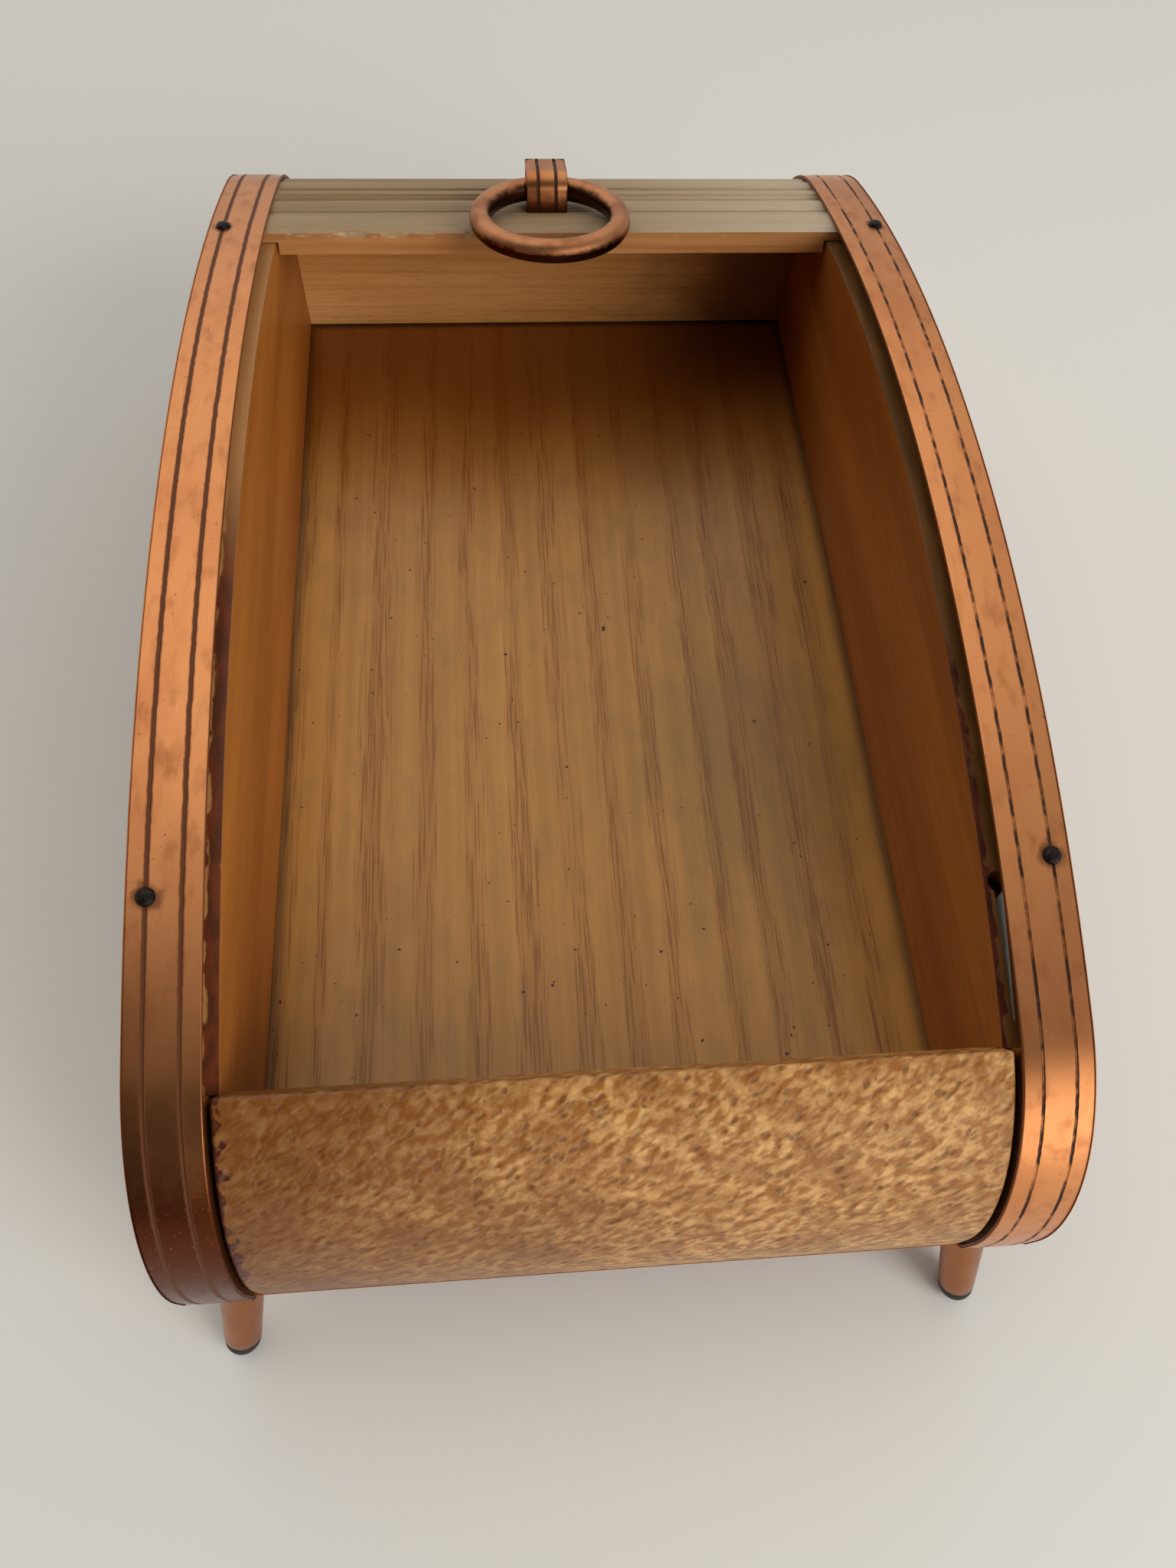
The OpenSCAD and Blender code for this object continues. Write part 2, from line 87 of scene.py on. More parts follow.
CORNER_R = 44.8 * MM
FOOT_CORNER_R = 5 * MM
BAND_T = 0.8 * MM
BAND_RETURN = 6 * MM
corner_y = half_d - CORNER_R
corner_z = crown_z + math.sqrt((crown_r - CORNER_R) ** 2 - corner_y**2)
crown_a = math.asin(corner_y / (crown_r - CORNER_R))
print(f"box {2000 * half_w:.0f} x {2000 * half_d:.0f} x {1000 * top_z:.0f} mm,",
      f"crown radius {crown_r / MM:.1f} mm")

# %% [markdown]
# ## Camera
#
# The photograph looks down into the box from above its front end, turned a little to the right
# and tilted. Focal length, angles and place were worked out from the curves of both bands, the
# floor's corners, the ring and the nails.

# %% Camera
IMAGE_H = 2048
FOCAL_PX = 1473.84
PITCH, YAW, ROLL = np.radians([62.50, 9.41, -6.08])
CAMERA_AT = np.array([-17.80, -155.02, 265.19]) * MM

ahead = math.cos(PITCH) * np.array([math.sin(YAW), math.cos(YAW), -math.tan(PITCH)])
level = np.array([math.cos(YAW), -math.sin(YAW), 0])
down = np.cross(ahead, level)
right = math.cos(ROLL) * level + math.sin(ROLL) * down
low = -math.sin(ROLL) * level + math.cos(ROLL) * down


def show(name, data):
    """A new object in the scene, which shows a mesh, a light or a camera."""
    made = bpy.data.objects.new(name, data)
    bpy.context.scene.collection.objects.link(made)
    return made


camera = show("camera", bpy.data.cameras.new("camera"))
camera.data.sensor_fit = "VERTICAL"
camera.data.lens = FOCAL_PX * camera.data.sensor_height / IMAGE_H
camera.data.clip_start = 0.01
turn = np.eye(4)
turn[:3, 0], turn[:3, 1], turn[:3, 2], turn[:3, 3] = right, -low, -ahead, CAMERA_AT
camera.matrix_world = Matrix(turn.tolist())
bpy.context.scene.camera = camera
print(f"lens {camera.data.lens:.1f} mm")

# %% [markdown]
# ## Helpers for materials
#
# A material here is a Principled BSDF whose colour, roughness and bump come from patterns. One
# function adds a node with its settings and links. Patterns read the place on the object in
# millimetres, so that a grain line or a speck has its real width.


# %% Colours, nodes and patterns
def srgb(code):
    """Linear red, green, blue and alpha of a hex colour such as C98350."""
    v = np.array([int(code[i:i + 2], 16) for i in (0, 2, 4)]) / 255
    return (*np.where(v <= 0.04045, v / 12.92, ((v + 0.055) / 1.055) ** 2.4).tolist(), 1)


def add(tree, kind, *inputs, out=0, **settings):
    """Adds one shader node, and returns its output out, or all its outputs where out is None.

    kind is a sum in capitals for the Math node, or another node's type. inputs are numbers and
    sockets in the node's own order, or one dict of them. settings are the node's properties."""
    if kind.isupper():
        kind, settings["operation"] = "Math", kind
    made = tree.nodes.new("ShaderNode" + kind)
    for name, value in settings.items():
        setattr(made, name, value)
    by_name = inputs and isinstance(inputs[0], dict)
    for name, value in (inputs[0] if by_name else dict(enumerate(inputs))).items():
        if isinstance(value, bpy.types.NodeSocket):
            tree.links.new(value, made.inputs[name])
        else:
            made.inputs[name].default_value = value
    return made.outputs if out is None else made.outputs[out]


def start(name, roughness, metallic=0.0, specular=0.5):
    """A new material: returns it, its node tree, its surface node and the place in millimetres."""
    material = bpy.data.materials.new(name)
    material.use_nodes = True
    tree = material.node_tree
    surface = tree.nodes["Principled BSDF"]
    surface.inputs["Roughness"].default_value = roughness
    surface.inputs["Metallic"].default_value = metallic
    surface.inputs["Specular IOR Level"].default_value = specular
    place = add(tree, "TexCoord", out="Object")
    place = add(tree, "VectorMath", place, (1 / MM, 1 / MM, 1 / MM), operation="MULTIPLY")
    return material, tree, surface, place


def times(tree, *factors):
    """The product of numbers and sockets."""
    product = factors[0]
    for factor in factors[1:]:
        product = add(tree, "MULTIPLY", product, factor)
    return product


def fade(tree, value, low, high, *shares):
    """A smooth factor, 0 where value is low and 1 where it is high, times each of the shares."""
    smooth = add(tree, "MapRange", value, low, high, interpolation_type="SMOOTHSTEP")
    return times(tree, smooth, *shares)


def mottle(tree, place, size, low=0.3, high=0.7, detail=3.0, turn=(0, 0, 0)):
    """A factor from 0 to 1: noise with spots of size mm along each axis, cut at low and high."""
    shrink = {"Vector": place, "Rotation": turn, "Scale": size}
    near = add(tree, "Mapping", shrink, vector_type="TEXTURE")
    noise = add(tree, "TexNoise", {"Vector": near, "Scale": 1.0, "Detail": detail})
    return fade(tree, noise, low, high)


def paint(tree, colour, *coats):
    """The colour under one or more coats. A colour is a socket or a hex code.

    A coat is its colour and its factors, and it covers as far as their product."""
    for over, *factors in coats:
        colour, over = (srgb(c) if isinstance(c, str) else c for c in (colour, over))
        mixed = {0: times(tree, *factors), 6: colour, 7: over}
        colour = add(tree, "Mix", mixed, data_type="RGBA", out=2)
    return colour


def cover(tree, surface, colour, height=None, depth_mm=0.0):
    """Gives the surface its colour, and raises it by depth_mm where height is 1."""
    tree.links.new(colour, surface.inputs["Base Color"])
    if height is not None:
        bump = add(tree, "Bump", {"Height": height, "Distance": depth_mm * MM, "Strength": 1.0})
        tree.links.new(bump, surface.inputs["Normal"])


# %% [markdown]
# ## Helpers for meshes
#
# Nearly every piece is a closed outline carried along a path, or a grid of points worked out
# as whole arrays. `sheet_of` turns such a grid into faces, and `piece` joins one or more of
# them into an object, sets its material and says which body it moves with.


# %% Grids, pieces and paths
def sheet_of(points, uv, close_u=False, close_v=False, caps=False):
    """Vertices, faces and corner coordinates of a grid of points, of shape (nu, nv, 3).

    uv has one more row or column than points where the grid closes on itself. caps closes the
    two ends of a grid that closes along v."""
    nu, nv = points.shape[:2]
    i, j = np.meshgrid(np.arange(nu - 1 + close_u), np.arange(nv - 1 + close_v), indexing="ij")
    corners = [(i, j), (i + 1, j), (i + 1, j + 1), (i, j + 1)]
    quads = np.stack([(a % nu) * nv + b % nv for a, b in corners], -1).reshape(-1, 4)
    quad_uv = np.stack([uv[a, b] for a, b in corners], -2).reshape(-1, 2)
    faces = quads.tolist()
    if caps:
        faces += [list(range(nv)), [(nu - 1) * nv + k for k in range(nv)]]
        quad_uv = np.concatenate([quad_uv, uv[0, :nv], uv[nu - 1, :nv]])
    return points.reshape(-1, 3), faces, quad_uv


def grid_uv(u, v):
    """Corner coordinates of a grid whose rows lie at u and whose columns lie at v, in mm."""
    return np.stack(np.meshgrid(u, v, indexing="ij"), -1)


def dress(material, *names):
    """Gives kept nodes their finish."""
    for name in names:
        nodes[name].data.materials.clear()
        nodes[name].data.materials.append(material)
    print(material.name, "on", len(names), "nodes")


def outward(mesh, weld=False):
    """Turns all faces outward. weld first joins points that lie at one place."""
    shell = bmesh.new()
    shell.from_mesh(mesh)
    if weld:
        bmesh.ops.remove_doubles(shell, verts=shell.verts, dist=1e-9)
    bmesh.ops.recalc_face_normals(shell, faces=shell.faces)
    shell.to_mesh(mesh)
    shell.free()


def piece(name, sheets, material, body, instead_of=(), sharp=35.0):
    """An object made of sheets, in place of the nodes instead_of. A blended piece has no body."""
    verts, faces, uv, first = [], [], [], 0
    for points, quads, corner_uv in sheets:
        verts.append(points)
        faces += [[k + first for k in face] for face in quads]
        uv.append(corner_uv)
        first += len(points)
    mesh = bpy.data.meshes.new(name)
    mesh.from_pydata(np.concatenate(verts).tolist(), [], faces)
    flat_uv = np.concatenate(uv).astype(np.float32).ravel()
    mesh.uv_layers.new(name="mm").data.foreach_set("uv", flat_uv)
    outward(mesh)
    mesh.shade_smooth()
    mesh.set_sharp_from_angle(angle=math.radians(sharp))
    mesh.materials.append(material)
    made = show(name, mesh)
    if instead_of:
        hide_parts(*instead_of)
    if body:
        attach(made, body)
    print(f"{name}: {len(mesh.vertices)} points, {len(mesh.polygons)} faces")
    return made


def arc(centre, radius, first, last, count):
    """Points of an arc and their normals. Angles are in degrees from straight up, towards +Y."""
    a = np.radians(np.linspace(first, last, count))
    normal = np.stack([np.sin(a), np.cos(a)], -1)
    return np.asarray(centre) + radius * normal, normal


def run(start_at, end_at, angle, count=2):
    """Points of a straight stretch, with all normals at the angle in degrees from straight up."""
    t = np.linspace(0, 1, count)[:, None]
    points = (1 - t) * np.asarray(start_at) + t * np.asarray(end_at)
    a = math.radians(angle)
    return points, np.tile([math.sin(a), math.cos(a)], (count, 1))


def chain(*stretches):
    """Joins stretches into one path: its points and normals, and the length along it in mm."""
    points = np.concatenate([p for p, n in stretches])
    normals = np.concatenate([n for p, n in stretches])
    step = np.hypot(*np.diff(points, axis=0).T)
    keep = np.concatenate([[True], step > 1e-7])
    return points[keep], normals[keep], np.concatenate([[0], np.cumsum(step[step > 1e-7])]) / MM


def carry(path, section, x_first=0.0):
    """Carries a closed section along a path in the Y-Z plane.

    The section's columns are x and the height along the path's normal, so that a vertex is at
    (x, path point + height * normal)."""
    points, normals, length = path
    yz = points[:, None] + section[None, :, 1:] * normals[:, None]
    x = np.broadcast_to(section[:, 0], yz.shape[:2])
    around = np.concatenate([section, section[:1]])
    uv = np.stack(np.broadcast_arrays(length[:, None], (around[:, 0] - x_first)[None] / MM), -1)
    return sheet_of(np.concatenate([x[..., None], yz], -1), uv, close_v=True, caps=True)


# %% [markdown]
# ## Copper
#
# Bands, ring, strap and feet are rolled copper strip, rod and tube. Years of handling keep the
# tops bright orange, while a brown film stays in the engraved lines, round the nails and on
# the faces that no hand reaches. The film is a warm brown mixed over the bare metal, and it
# makes the metal rougher too. Two sorts of pattern draw it: broad clouds and small specks. The
# same dark brown is also painted shade low on the left band, on the strap's front leg and on
# the ring's sides.


# %% Copper with a brown film
def copper(name, bright="E0955F", film="6B3C22", cloudy=0.5,
           grooves=(), line=None, nails=None, painted_shade_below=None):
    """grooves are the engraved lines' places across the strip, in mm of its own coordinates.

    line gives their colour, half width in mm and how broken they are, from 0 to 1. nails is the
    place of a nail, with a stain round it. The last argument is painted shade: the height in mm
    below which a whole dark film paints the shade that falls there, then how far down it is
    whole, and its colour. Lighter rubbed strokes within it are partly painted glints."""
    material, tree, surface, place = start(name, 0.34, 1.0)
    clouds = mottle(tree, place, (11, 30, 11), 0.42, 0.78)
    smears = mottle(tree, place, (3.0, 7, 3.0), 0.48, 0.78, detail=6)
    rubbed = mottle(tree, place, (0.5, 12, 0.5), 0.62, 0.76)
    colour = paint(tree, bright, ("BC6F42", clouds, cloudy), ("A9633B", smears, 0.5),
                   ("F0B080", rubbed, 0.35))
    specks = mottle(tree, place, (0.7, 0.7, 0.7), 0.7, 0.76)
    stains = mottle(tree, place, (1.8, 2.6, 1.8), 0.71, 0.79, detail=5)
    dark = add(tree, "MAXIMUM", times(tree, specks, 0.75), times(tree, stains, 0.6))
    lines = 0.0
    if grooves:
        facing = add(tree, "TexCoord", out="Normal")
        sideways = add(tree, "ABSOLUTE", add(tree, "SeparateXYZ", facing))
        dark = add(tree, "MAXIMUM", dark, fade(tree, sideways, 0.6, 0.95, 0.85))
        line_film, half_line, broken = line
        strip = add(tree, "UVMap", uv_map="mm")
        across = add(tree, "SeparateXYZ", strip, out=1)
        sway = mottle(tree, strip, (2.2, 30, 1), 0.2, 0.8, detail=5)
        across = add(tree, "MULTIPLY_ADD", sway, 0.22, add(tree, "SUBTRACT", across, 0.11))
        worn = mottle(tree, strip, (4.5, 50, 1), 0.1 + 0.3 * broken, 0.3 + 0.3 * broken, detail=6)
        for at in grooves:
            off = add(tree, "ABSOLUTE", add(tree, "SUBTRACT", across, at))
            one = fade(tree, off, half_line, half_line * 0.45, 0.95, worn)
            lines = add(tree, "MAXIMUM", lines, one)
    if nails:
        folded = add(tree, "VectorMath", place, operation="ABSOLUTE")
        gap = add(tree, "VectorMath", folded, nails, operation="DISTANCE", out="Value")
        wobble = mottle(tree, place, (3.5, 3.5, 3.5))
        stain = fade(tree, add(tree, "SUBTRACT", gap, wobble), 2.6, 1.3, 0.75)
        dark = add(tree, "MAXIMUM", dark, stain)
    colour = paint(tree, colour, (film, dark))
    # Painted shade: below a height the surface is painted a whole dark film, and rubbed strokes in
    # it are painted lighter, partly as glints.
    if painted_shade_below:
        from_z, deep, painted_shade_colour = painted_shade_below
        ragged = mottle(tree, place, (2.5, 2.5, 1.2))
        level = add(tree, "ADD", add(tree, "SeparateXYZ", place, out=2), ragged)
        painted_shade = fade(tree, level, from_z, from_z - deep, 0.97)
        colour = paint(tree, colour, (painted_shade_colour, painted_shade), ("D08A58", rubbed, painted_shade, 0.55))
    if grooves:
        colour = paint(tree, colour, (line_film, lines))
        dark = add(tree, "MAXIMUM", dark, lines)
    tree.links.new(fade(tree, dark, 1.6, 0.2), surface.inputs["Metallic"])
    rough = add(tree, "MULTIPLY_ADD", smears, 0.1, add(tree, "MULTIPLY_ADD", dark, 0.22, 0.3))
    tree.links.new(rough, surface.inputs["Roughness"])
    cover(tree, surface, colour, mottle(tree, place, (0.25, 9, 0.25), 0.35, 0.65), 0.003)
    return material


# %% [markdown]
# ## Bands
#
# Each band is a strip of copper, 12.7 mm wide, bent over a side from one end to the other and
# turned in under the base, where the feet stand. Two lines are engraved in it. The strip's
# section has the lines cut into it and its edges eased, and it is carried along the side's
# outline. Bending a flat strip with a modifier would stretch the lines at the corners.

# %% The side's outline
foot_z = band_z + FOOT_CORNER_R
rear_half = (
    arc((0, crown_z), crown_r, 0, math.degrees(crown_a), 70),
    arc((corner_y, corner_z), CORNER_R, math.degrees(crown_a), 90, 48),
    run((half_d, corner_z), (half_d, foot_z), 90, 3),
    arc((half_d - FOOT_CORNER_R, foot_z), FOOT_CORNER_R, 90, 180, 14),
    run((half_d - FOOT_CORNER_R, band_z), (half_d - FOOT_CORNER_R - BAND_RETURN, band_z), 180, 4),
)
front_half = [(p[::-1] * (-1, 1), n[::-1] * (-1, 1)) for p, n in rear_half[::-1]]
side_path = chain(*front_half, *rear_half)
print(f"the side's outline is {side_path[2][-1]:.0f} mm long")

# %% Both bands
LINE_PLACES = (0.27, 0.73)
LINE_W, LINE_DEPTH, EASE = 0.6 * MM, 0.2 * MM, 0.22 * MM


def strip_section(width, thickness, marks, line_w, line_depth, ease):
    """A strip's closed section: x from 0 to width, height from 0 down to -thickness."""
    a = np.radians(np.linspace(90, 0, 5))
    left = np.stack([ease * (1 - np.sin(a)), -ease * (1 - np.cos(a))], -1)[::-1]
    top = [left]
    for mark in marks:
        groove = [(-0.5, 0), (-0.34, -0.55), (-0.18, -1), (0.18, -1), (0.34, -0.55), (0.5, 0)]
        top.append(np.array(groove) * (line_w, line_depth) + (mark * width, 0))
    top.append(left[::-1] * (-1, 1) + (width, 0))
    lower = np.array([[width, -thickness + ease / 2], [width - ease / 2, -thickness]])
    bottom = np.concatenate([lower, (lower * (-1, 1) + (width, 0))[::-1]])
    return np.concatenate([*top, bottom])


section = strip_section(band_w, BAND_T, LINE_PLACES, LINE_W, LINE_DEPTH, EASE)
line_mm = [mark * band_w / MM for mark in LINE_PLACES]
NAIL_IN = 58 * MM
nail_x = half_w - LINE_PLACES[0] * band_w
nail_y = half_d - NAIL_IN
nail_a = math.asin(nail_y / crown_r)
nail_at = (nail_x, nail_y, crown_z + crown_r * math.cos(nail_a))
filled = {"left": ("6A3B20", 0.66, 0.1), "right": ("33201A", 0.42, 0.85)}
# Painted shade: the left band's lower ends are painted with a dark film, as the shade that falls
# there; the right band has none.
band_painted_shade = {"left": (84.5, 16, "602A12"), "right": None}
for side, name in ((-1, "left"), (1, "right")):
    nail_mm = tuple(v / MM for v in nail_at)
    look = {"grooves": line_mm, "line": filled[name], "nails": nail_mm, "painted_shade_below": band_painted_shade[name]}
    band_copper = copper(f"copper_band_{name}", **look)
    across = section * (-side, 1) + (side * half_w, 0)
    strip = carry(side_path, across)
    strip[2][:, 1] = np.abs(np.abs(strip[2][:, 1]) - half_w / MM)
    piece("copper_band_" + name, [strip], band_copper, "root", ["band_" + name])

# %% [markdown]
# ## Nails
#
# Two round-headed nails hold each band. A nail's head is a low black dome, turned to stand
# square on the curved band. A dome is a profile spun round its own axis.

# %% Blackened steel, and the nails
blackened, tree, surface, place = start("blackened_steel", 0.42, 0.6)
dust = mottle(tree, place, (0.5, 0.5, 0.5), 0.45, 0.75)
cover(tree, surface, paint(tree, "17110F", ("3B2A22", dust)))

HEAD_D, HEAD_H = 3.3 * MM, 1.15 * MM


def spun(profile, centre, axis, count=40):
    """A profile of points (radius, height over centre) spun round axis."""
    axis = np.asarray(axis) / np.linalg.norm(axis)
    side_way = np.cross(axis, (1, 0, 0))
    side_way /= np.linalg.norm(side_way)
    other = np.cross(axis, side_way)
    a = np.linspace(0, 2 * math.pi, count, endpoint=False)
    ring_of = np.cos(a)[:, None] * side_way + np.sin(a)[:, None] * other
    points = np.asarray(centre) + profile[:, None, :1] * ring_of + profile[:, None, 1:] * axis
    uv = grid_uv(profile[:, 1] / MM, np.linspace(0, 10, count + 1))
    return sheet_of(points, uv, close_v=True, caps=True)


a = np.radians(np.linspace(90, 4, 12))
dome = np.stack([HEAD_D / 2 * np.sin(a), HEAD_H * np.cos(a) ** 0.9], -1)
dome = np.concatenate([[[HEAD_D / 2 - 0.3 * MM, -0.3 * MM]], dome])
heads = []
for x_side in (-1, 1):
    for y_side in (-1, 1):
        up = (0, y_side * math.sin(nail_a), math.cos(nail_a))
        heads.append(spun(dome, (x_side * nail_x, y_side * nail_at[1], nail_at[2]), up))
piece("round_head_nails", heads, blackened, "root", ["band_nails"])
dress(blackened, "track_nail")

# %% [markdown]
# ## Feet
#
# Each foot is a short copper tube that tapers as it leans outward, with a black moulded glide
# pressed into its lower end. The tube's upper end is cut to the band that it stands under, so
# each line down the tube starts where it meets the band's lower face.

# %% Tube feet
FOOT_IN_X, FOOT_IN_Y = 9 * MM, 6 * MM
LEAN_X, LEAN_Y = 4.5 * MM, 10.5 * MM
TUBE_TOP_D, TUBE_FOOT_D, TUBE_WALL = 9 * MM, 7.4 * MM, 0.8 * MM
TUBE_SIDES, CUT_STEPS, BORE_DEPTH = 64, 8, 3 * MM
TUBE_LONG_MM, TUBE_ROUND_MM = 30, 25
GLIDE_R, GLIDE_FLAT = 3.6 * MM, 0.3 * MM


def under_face(y):
    """Height of the band's lower face: flat, then an arc of the lower corner's radius."""
    past = np.clip(np.abs(y) - (half_d - FOOT_CORNER_R), 0, FOOT_CORNER_R)
    return band_z + FOOT_CORNER_R - np.sqrt(FOOT_CORNER_R**2 - past**2)


def tube_foot(x_side, y_side):
    """A tapered tube along the foot's axis, from the band down to the glide's widest ring."""
    top = np.array([x_side * (half_w - FOOT_IN_X), y_side * (half_d - FOOT_IN_Y), band_z])
    axis = np.array([x_side * LEAN_X, y_side * LEAN_Y, -(band_z - GLIDE_R + GLIDE_FLAT)])
    end = np.linalg.norm(axis) - 0.4 * GLIDE_R
    axis /= np.linalg.norm(axis)
    across = np.cross(axis, (1, 0, 0))
    across /= np.linalg.norm(across)
    other = np.cross(axis, across)
    a = np.linspace(0, 2 * math.pi, TUBE_SIDES, endpoint=False)
    out = np.cos(a)[:, None] * across + np.sin(a)[:, None] * other
    upper = top + TUBE_TOP_D / 2 * out
    start_at = np.zeros(TUBE_SIDES)
    for _ in range(CUT_STEPS):
        now = upper + start_at[:, None] * axis
        start_at += (now[:, 2] - under_face(now[:, 1])) / -axis[2]
    share = np.linspace(0, 1, 12)[:, None]
    along = start_at + share * (end - 0.25 * MM - start_at)
    radius = TUBE_TOP_D / 2 + (TUBE_FOOT_D - TUBE_TOP_D) / 2 * np.clip(along / end, 0, 1)
    rim = np.array([(0.1 * MM, 0.07 * MM), (0.3 * MM, 0), (TUBE_WALL, 0),
                    (TUBE_WALL, BORE_DEPTH), (TUBE_WALL, BORE_DEPTH)])
    radius = np.concatenate([radius, np.tile(TUBE_FOOT_D / 2 - rim[:, :1], TUBE_SIDES)])
    along = np.concatenate([along, np.tile(end - rim[:, 1:], TUBE_SIDES)])
    radius[-1] = 0.02 * MM
    points = top + radius[..., None] * out + along[..., None] * axis
    u = np.linspace(0, TUBE_LONG_MM, len(points))
    uv = grid_uv(u, np.linspace(0, TUBE_ROUND_MM, TUBE_SIDES + 1))
    return sheet_of(points, uv, close_v=True, caps=True)


foot_copper = copper("copper_tube", bright="A8622C", cloudy=0.9)
for y_side, y_name in ((-1, "front"), (1, "rear")):
    for x_side, x_name in ((-1, "left"), (1, "right")):
        name = f"foot_{y_name}_{x_name}"
        tube = tube_foot(x_side, y_side)
        piece("copper_" + name, [tube], foot_copper, "root", [name])

# %% Black moulded glides
rubber, tree, surface, place = start("moulded_black_rubber", 0.5)
scuff = mottle(tree, place, (0.7, 0.7, 0.7), 0.5, 0.7)
cover(tree, surface, paint(tree, "120F0E", ("2B2522", scuff)))
dress(rubber, *(name for name in nodes if name.startswith("glide_")))

# %% [markdown]
# ## Ring and strap
#
# The pull is a ring of round rod that hangs in a folded copper strap. The strap's free end
# points to the rear, it bends down in front of the first slat, passes under it and comes up
# behind. The ring's top is worn bright where fingers take it. Its sides are painted dark, partly
# as film and partly as shade.

# %% The place of the ring and strap
RING_D, ROD_D = 37.4 * MM, 5 * MM
RING_LEAN = math.radians(4.4)
RING_ROUND_MM, ROD_ROUND_MM, ROD_QUARTER_MM = 102, 15.7, 3.93
STRAP_W, STRAP_T, STRAP_TAIL = 9.8 * MM, 0.7 * MM, 3 * MM
EYE_R, LOOP_LOW = 3.506 * MM, 3.2 * MM
FRONT_BEND, LOWER_BEND = 3.3 * MM, 0.1 * MM
pivot = np.array(swing["pos_m"])
slope = math.atan2(pivot[1], pivot[2] - crown_z)


def lid_plane(along, up, angle=slope, at=pivot):
    """Y and Z of a point that lies along the slat's rearward tangent and up its normal from at."""
    y = at[1] + along * math.cos(angle) + up * math.sin(angle)
    return np.stack([y, at[2] - along * math.sin(angle) + up * math.cos(angle)], -1)


# %% The ring
def worn_ring(turns=160, around=40):
    """A torus: the rod's centre goes round a circle, and its section is a little flat on top."""
    ring_r = (RING_D - ROD_D) / 2
    u = np.linspace(0, 2 * math.pi, turns, endpoint=False)[:, None]
    v = np.linspace(0, 2 * math.pi, around, endpoint=False)[None]
    reach = ring_r + ROD_D / 2 * np.sign(np.cos(v)) * np.abs(np.cos(v)) ** 0.94
    height = ROD_D / 2 * np.sign(np.sin(v)) * np.abs(np.sin(v)) ** 0.9
    height = height + 0.04 * MM * np.sin(3 * u) * np.sin(v)
    yz = lid_plane(reach * np.cos(u) - ring_r, height + 0 * u, slope - RING_LEAN)
    x = pivot[0] + reach * np.sin(u)
    along = np.linspace(0, RING_ROUND_MM, turns + 1)
    uv = grid_uv(along, np.linspace(0, ROD_ROUND_MM, around + 1))
    return sheet_of(np.concatenate([x[..., None], yz], -1), uv, close_u=True, close_v=True)


def ring_copper():
    """Copper whose sides and underside are painted with a dark film, partly patina and partly
    painted shade, while the top is rubbed bright.
    """
    material, tree, surface, place = start("copper_ring", 0.42, 1.0)
    clouds = mottle(tree, place, (7, 7, 7), 0.4, 0.7, detail=4)
    colour = paint(tree, "C98B60", ("A76B45", clouds))
    round_rod = add(tree, "SeparateXYZ", add(tree, "UVMap", uv_map="mm"), out=1)
    inward = add(tree, "SUBTRACT", round_rod, ROD_QUARTER_MM)
    ragged = times(tree, mottle(tree, place, (2.2, 2.2, 2.2), detail=6), 0.9)
    inner = fade(tree, add(tree, "ADD", inward, ragged), 1.7, 3.3)
    outer = fade(tree, add(tree, "SUBTRACT", ragged, inward), 3.3, 4.9)
    # The dark film on the ring's inner and outer sides is partly patina and partly painted shade.
    film = add(tree, "MAXIMUM", inner, outer)
    colour = paint(tree, colour, ("4A2D20", film))
    tree.links.new(add(tree, "MULTIPLY_ADD", film, -0.1, 0.44), surface.inputs["Roughness"])
    cover(tree, surface, colour, mottle(tree, place, (0.6, 0.6, 0.6)), 0.006)
    return material


piece("pull_ring_rod", [worn_ring()], ring_copper(), "ring", ["pull_ring"])

# %% The strap
half_t = STRAP_T / 2
edge = EYE_R + half_t
low_n, high_n = -(LOOP_LOW + half_t), 2 * EYE_R + 0.1 * MM + half_t
lift = EYE_R + 0.1 * MM
bend_r, low_r = FRONT_BEND + half_t, LOWER_BEND + half_t


def strap_path():
    """The strap's middle line, from its free rear end, forward, down, under the slat and up."""
    stretches = (
        run((edge + half_t + STRAP_TAIL, high_n), (-edge + bend_r, high_n), 0, 4),
        arc((-edge + bend_r, high_n - bend_r), bend_r, 0, -90, 16),
        run((-edge, high_n - bend_r), (-edge, low_n + low_r), -90, 4),
        arc((-edge + low_r, low_n + low_r), low_r, -90, -180, 6),
        run((-edge + low_r, low_n), (edge - low_r, low_n), -180, 3),
        arc((edge - low_r, low_n + low_r), low_r, -180, -270, 6),
        run((edge, low_n + low_r), (edge, high_n - half_t + 0.03 * MM), -270, 4),
    )
    points, normals, length = chain(*stretches)
    turned = lid_plane(points[:, 0], points[:, 1] - lift)
    faced = lid_plane(normals[:, 0], normals[:, 1], at=(0, 0, 0))
    return turned, faced, length


strap_marks = (0.29, 0.72)
section = strip_section(STRAP_W, STRAP_T, strap_marks, 0.75 * MM, 0.32 * MM, 0.2 * MM)
strap_left = pivot[0] - STRAP_W / 2
strap = carry(strap_path(), section + (strap_left, half_t), strap_left)
strap_lines = [mark * STRAP_W / MM for mark in strap_marks]
strap_fill = ("45271A", 0.5, 0.1)
# Painted shade: the strap's front leg, below the bend, is painted with a dark film.
strap_painted_shade = (pivot[2] / MM + 3, 4, "6B3C22")
strap_copper = copper("copper_strap", "CC8A5A", cloudy=0.8,
                      grooves=strap_lines, line=strap_fill, painted_shade_below=strap_painted_shade)
piece("pull_strap_fold", [strap], strap_copper, "lid", ["pull_strap"])

# %% [markdown]
# ## Interior wood
#
# The floor is a board of ash or a wood like it: pale, with open pores that show as fine brown
# lines in wide streaks along the board. The inner sides are a close, smooth wood, stained
# orange-brown. All of it is lacquered, and the lacquer shines where it faces the light.


# %% Open-grained floor wood
RING_MM = 10.2
GREY_SPOT = (38, -42, 43)


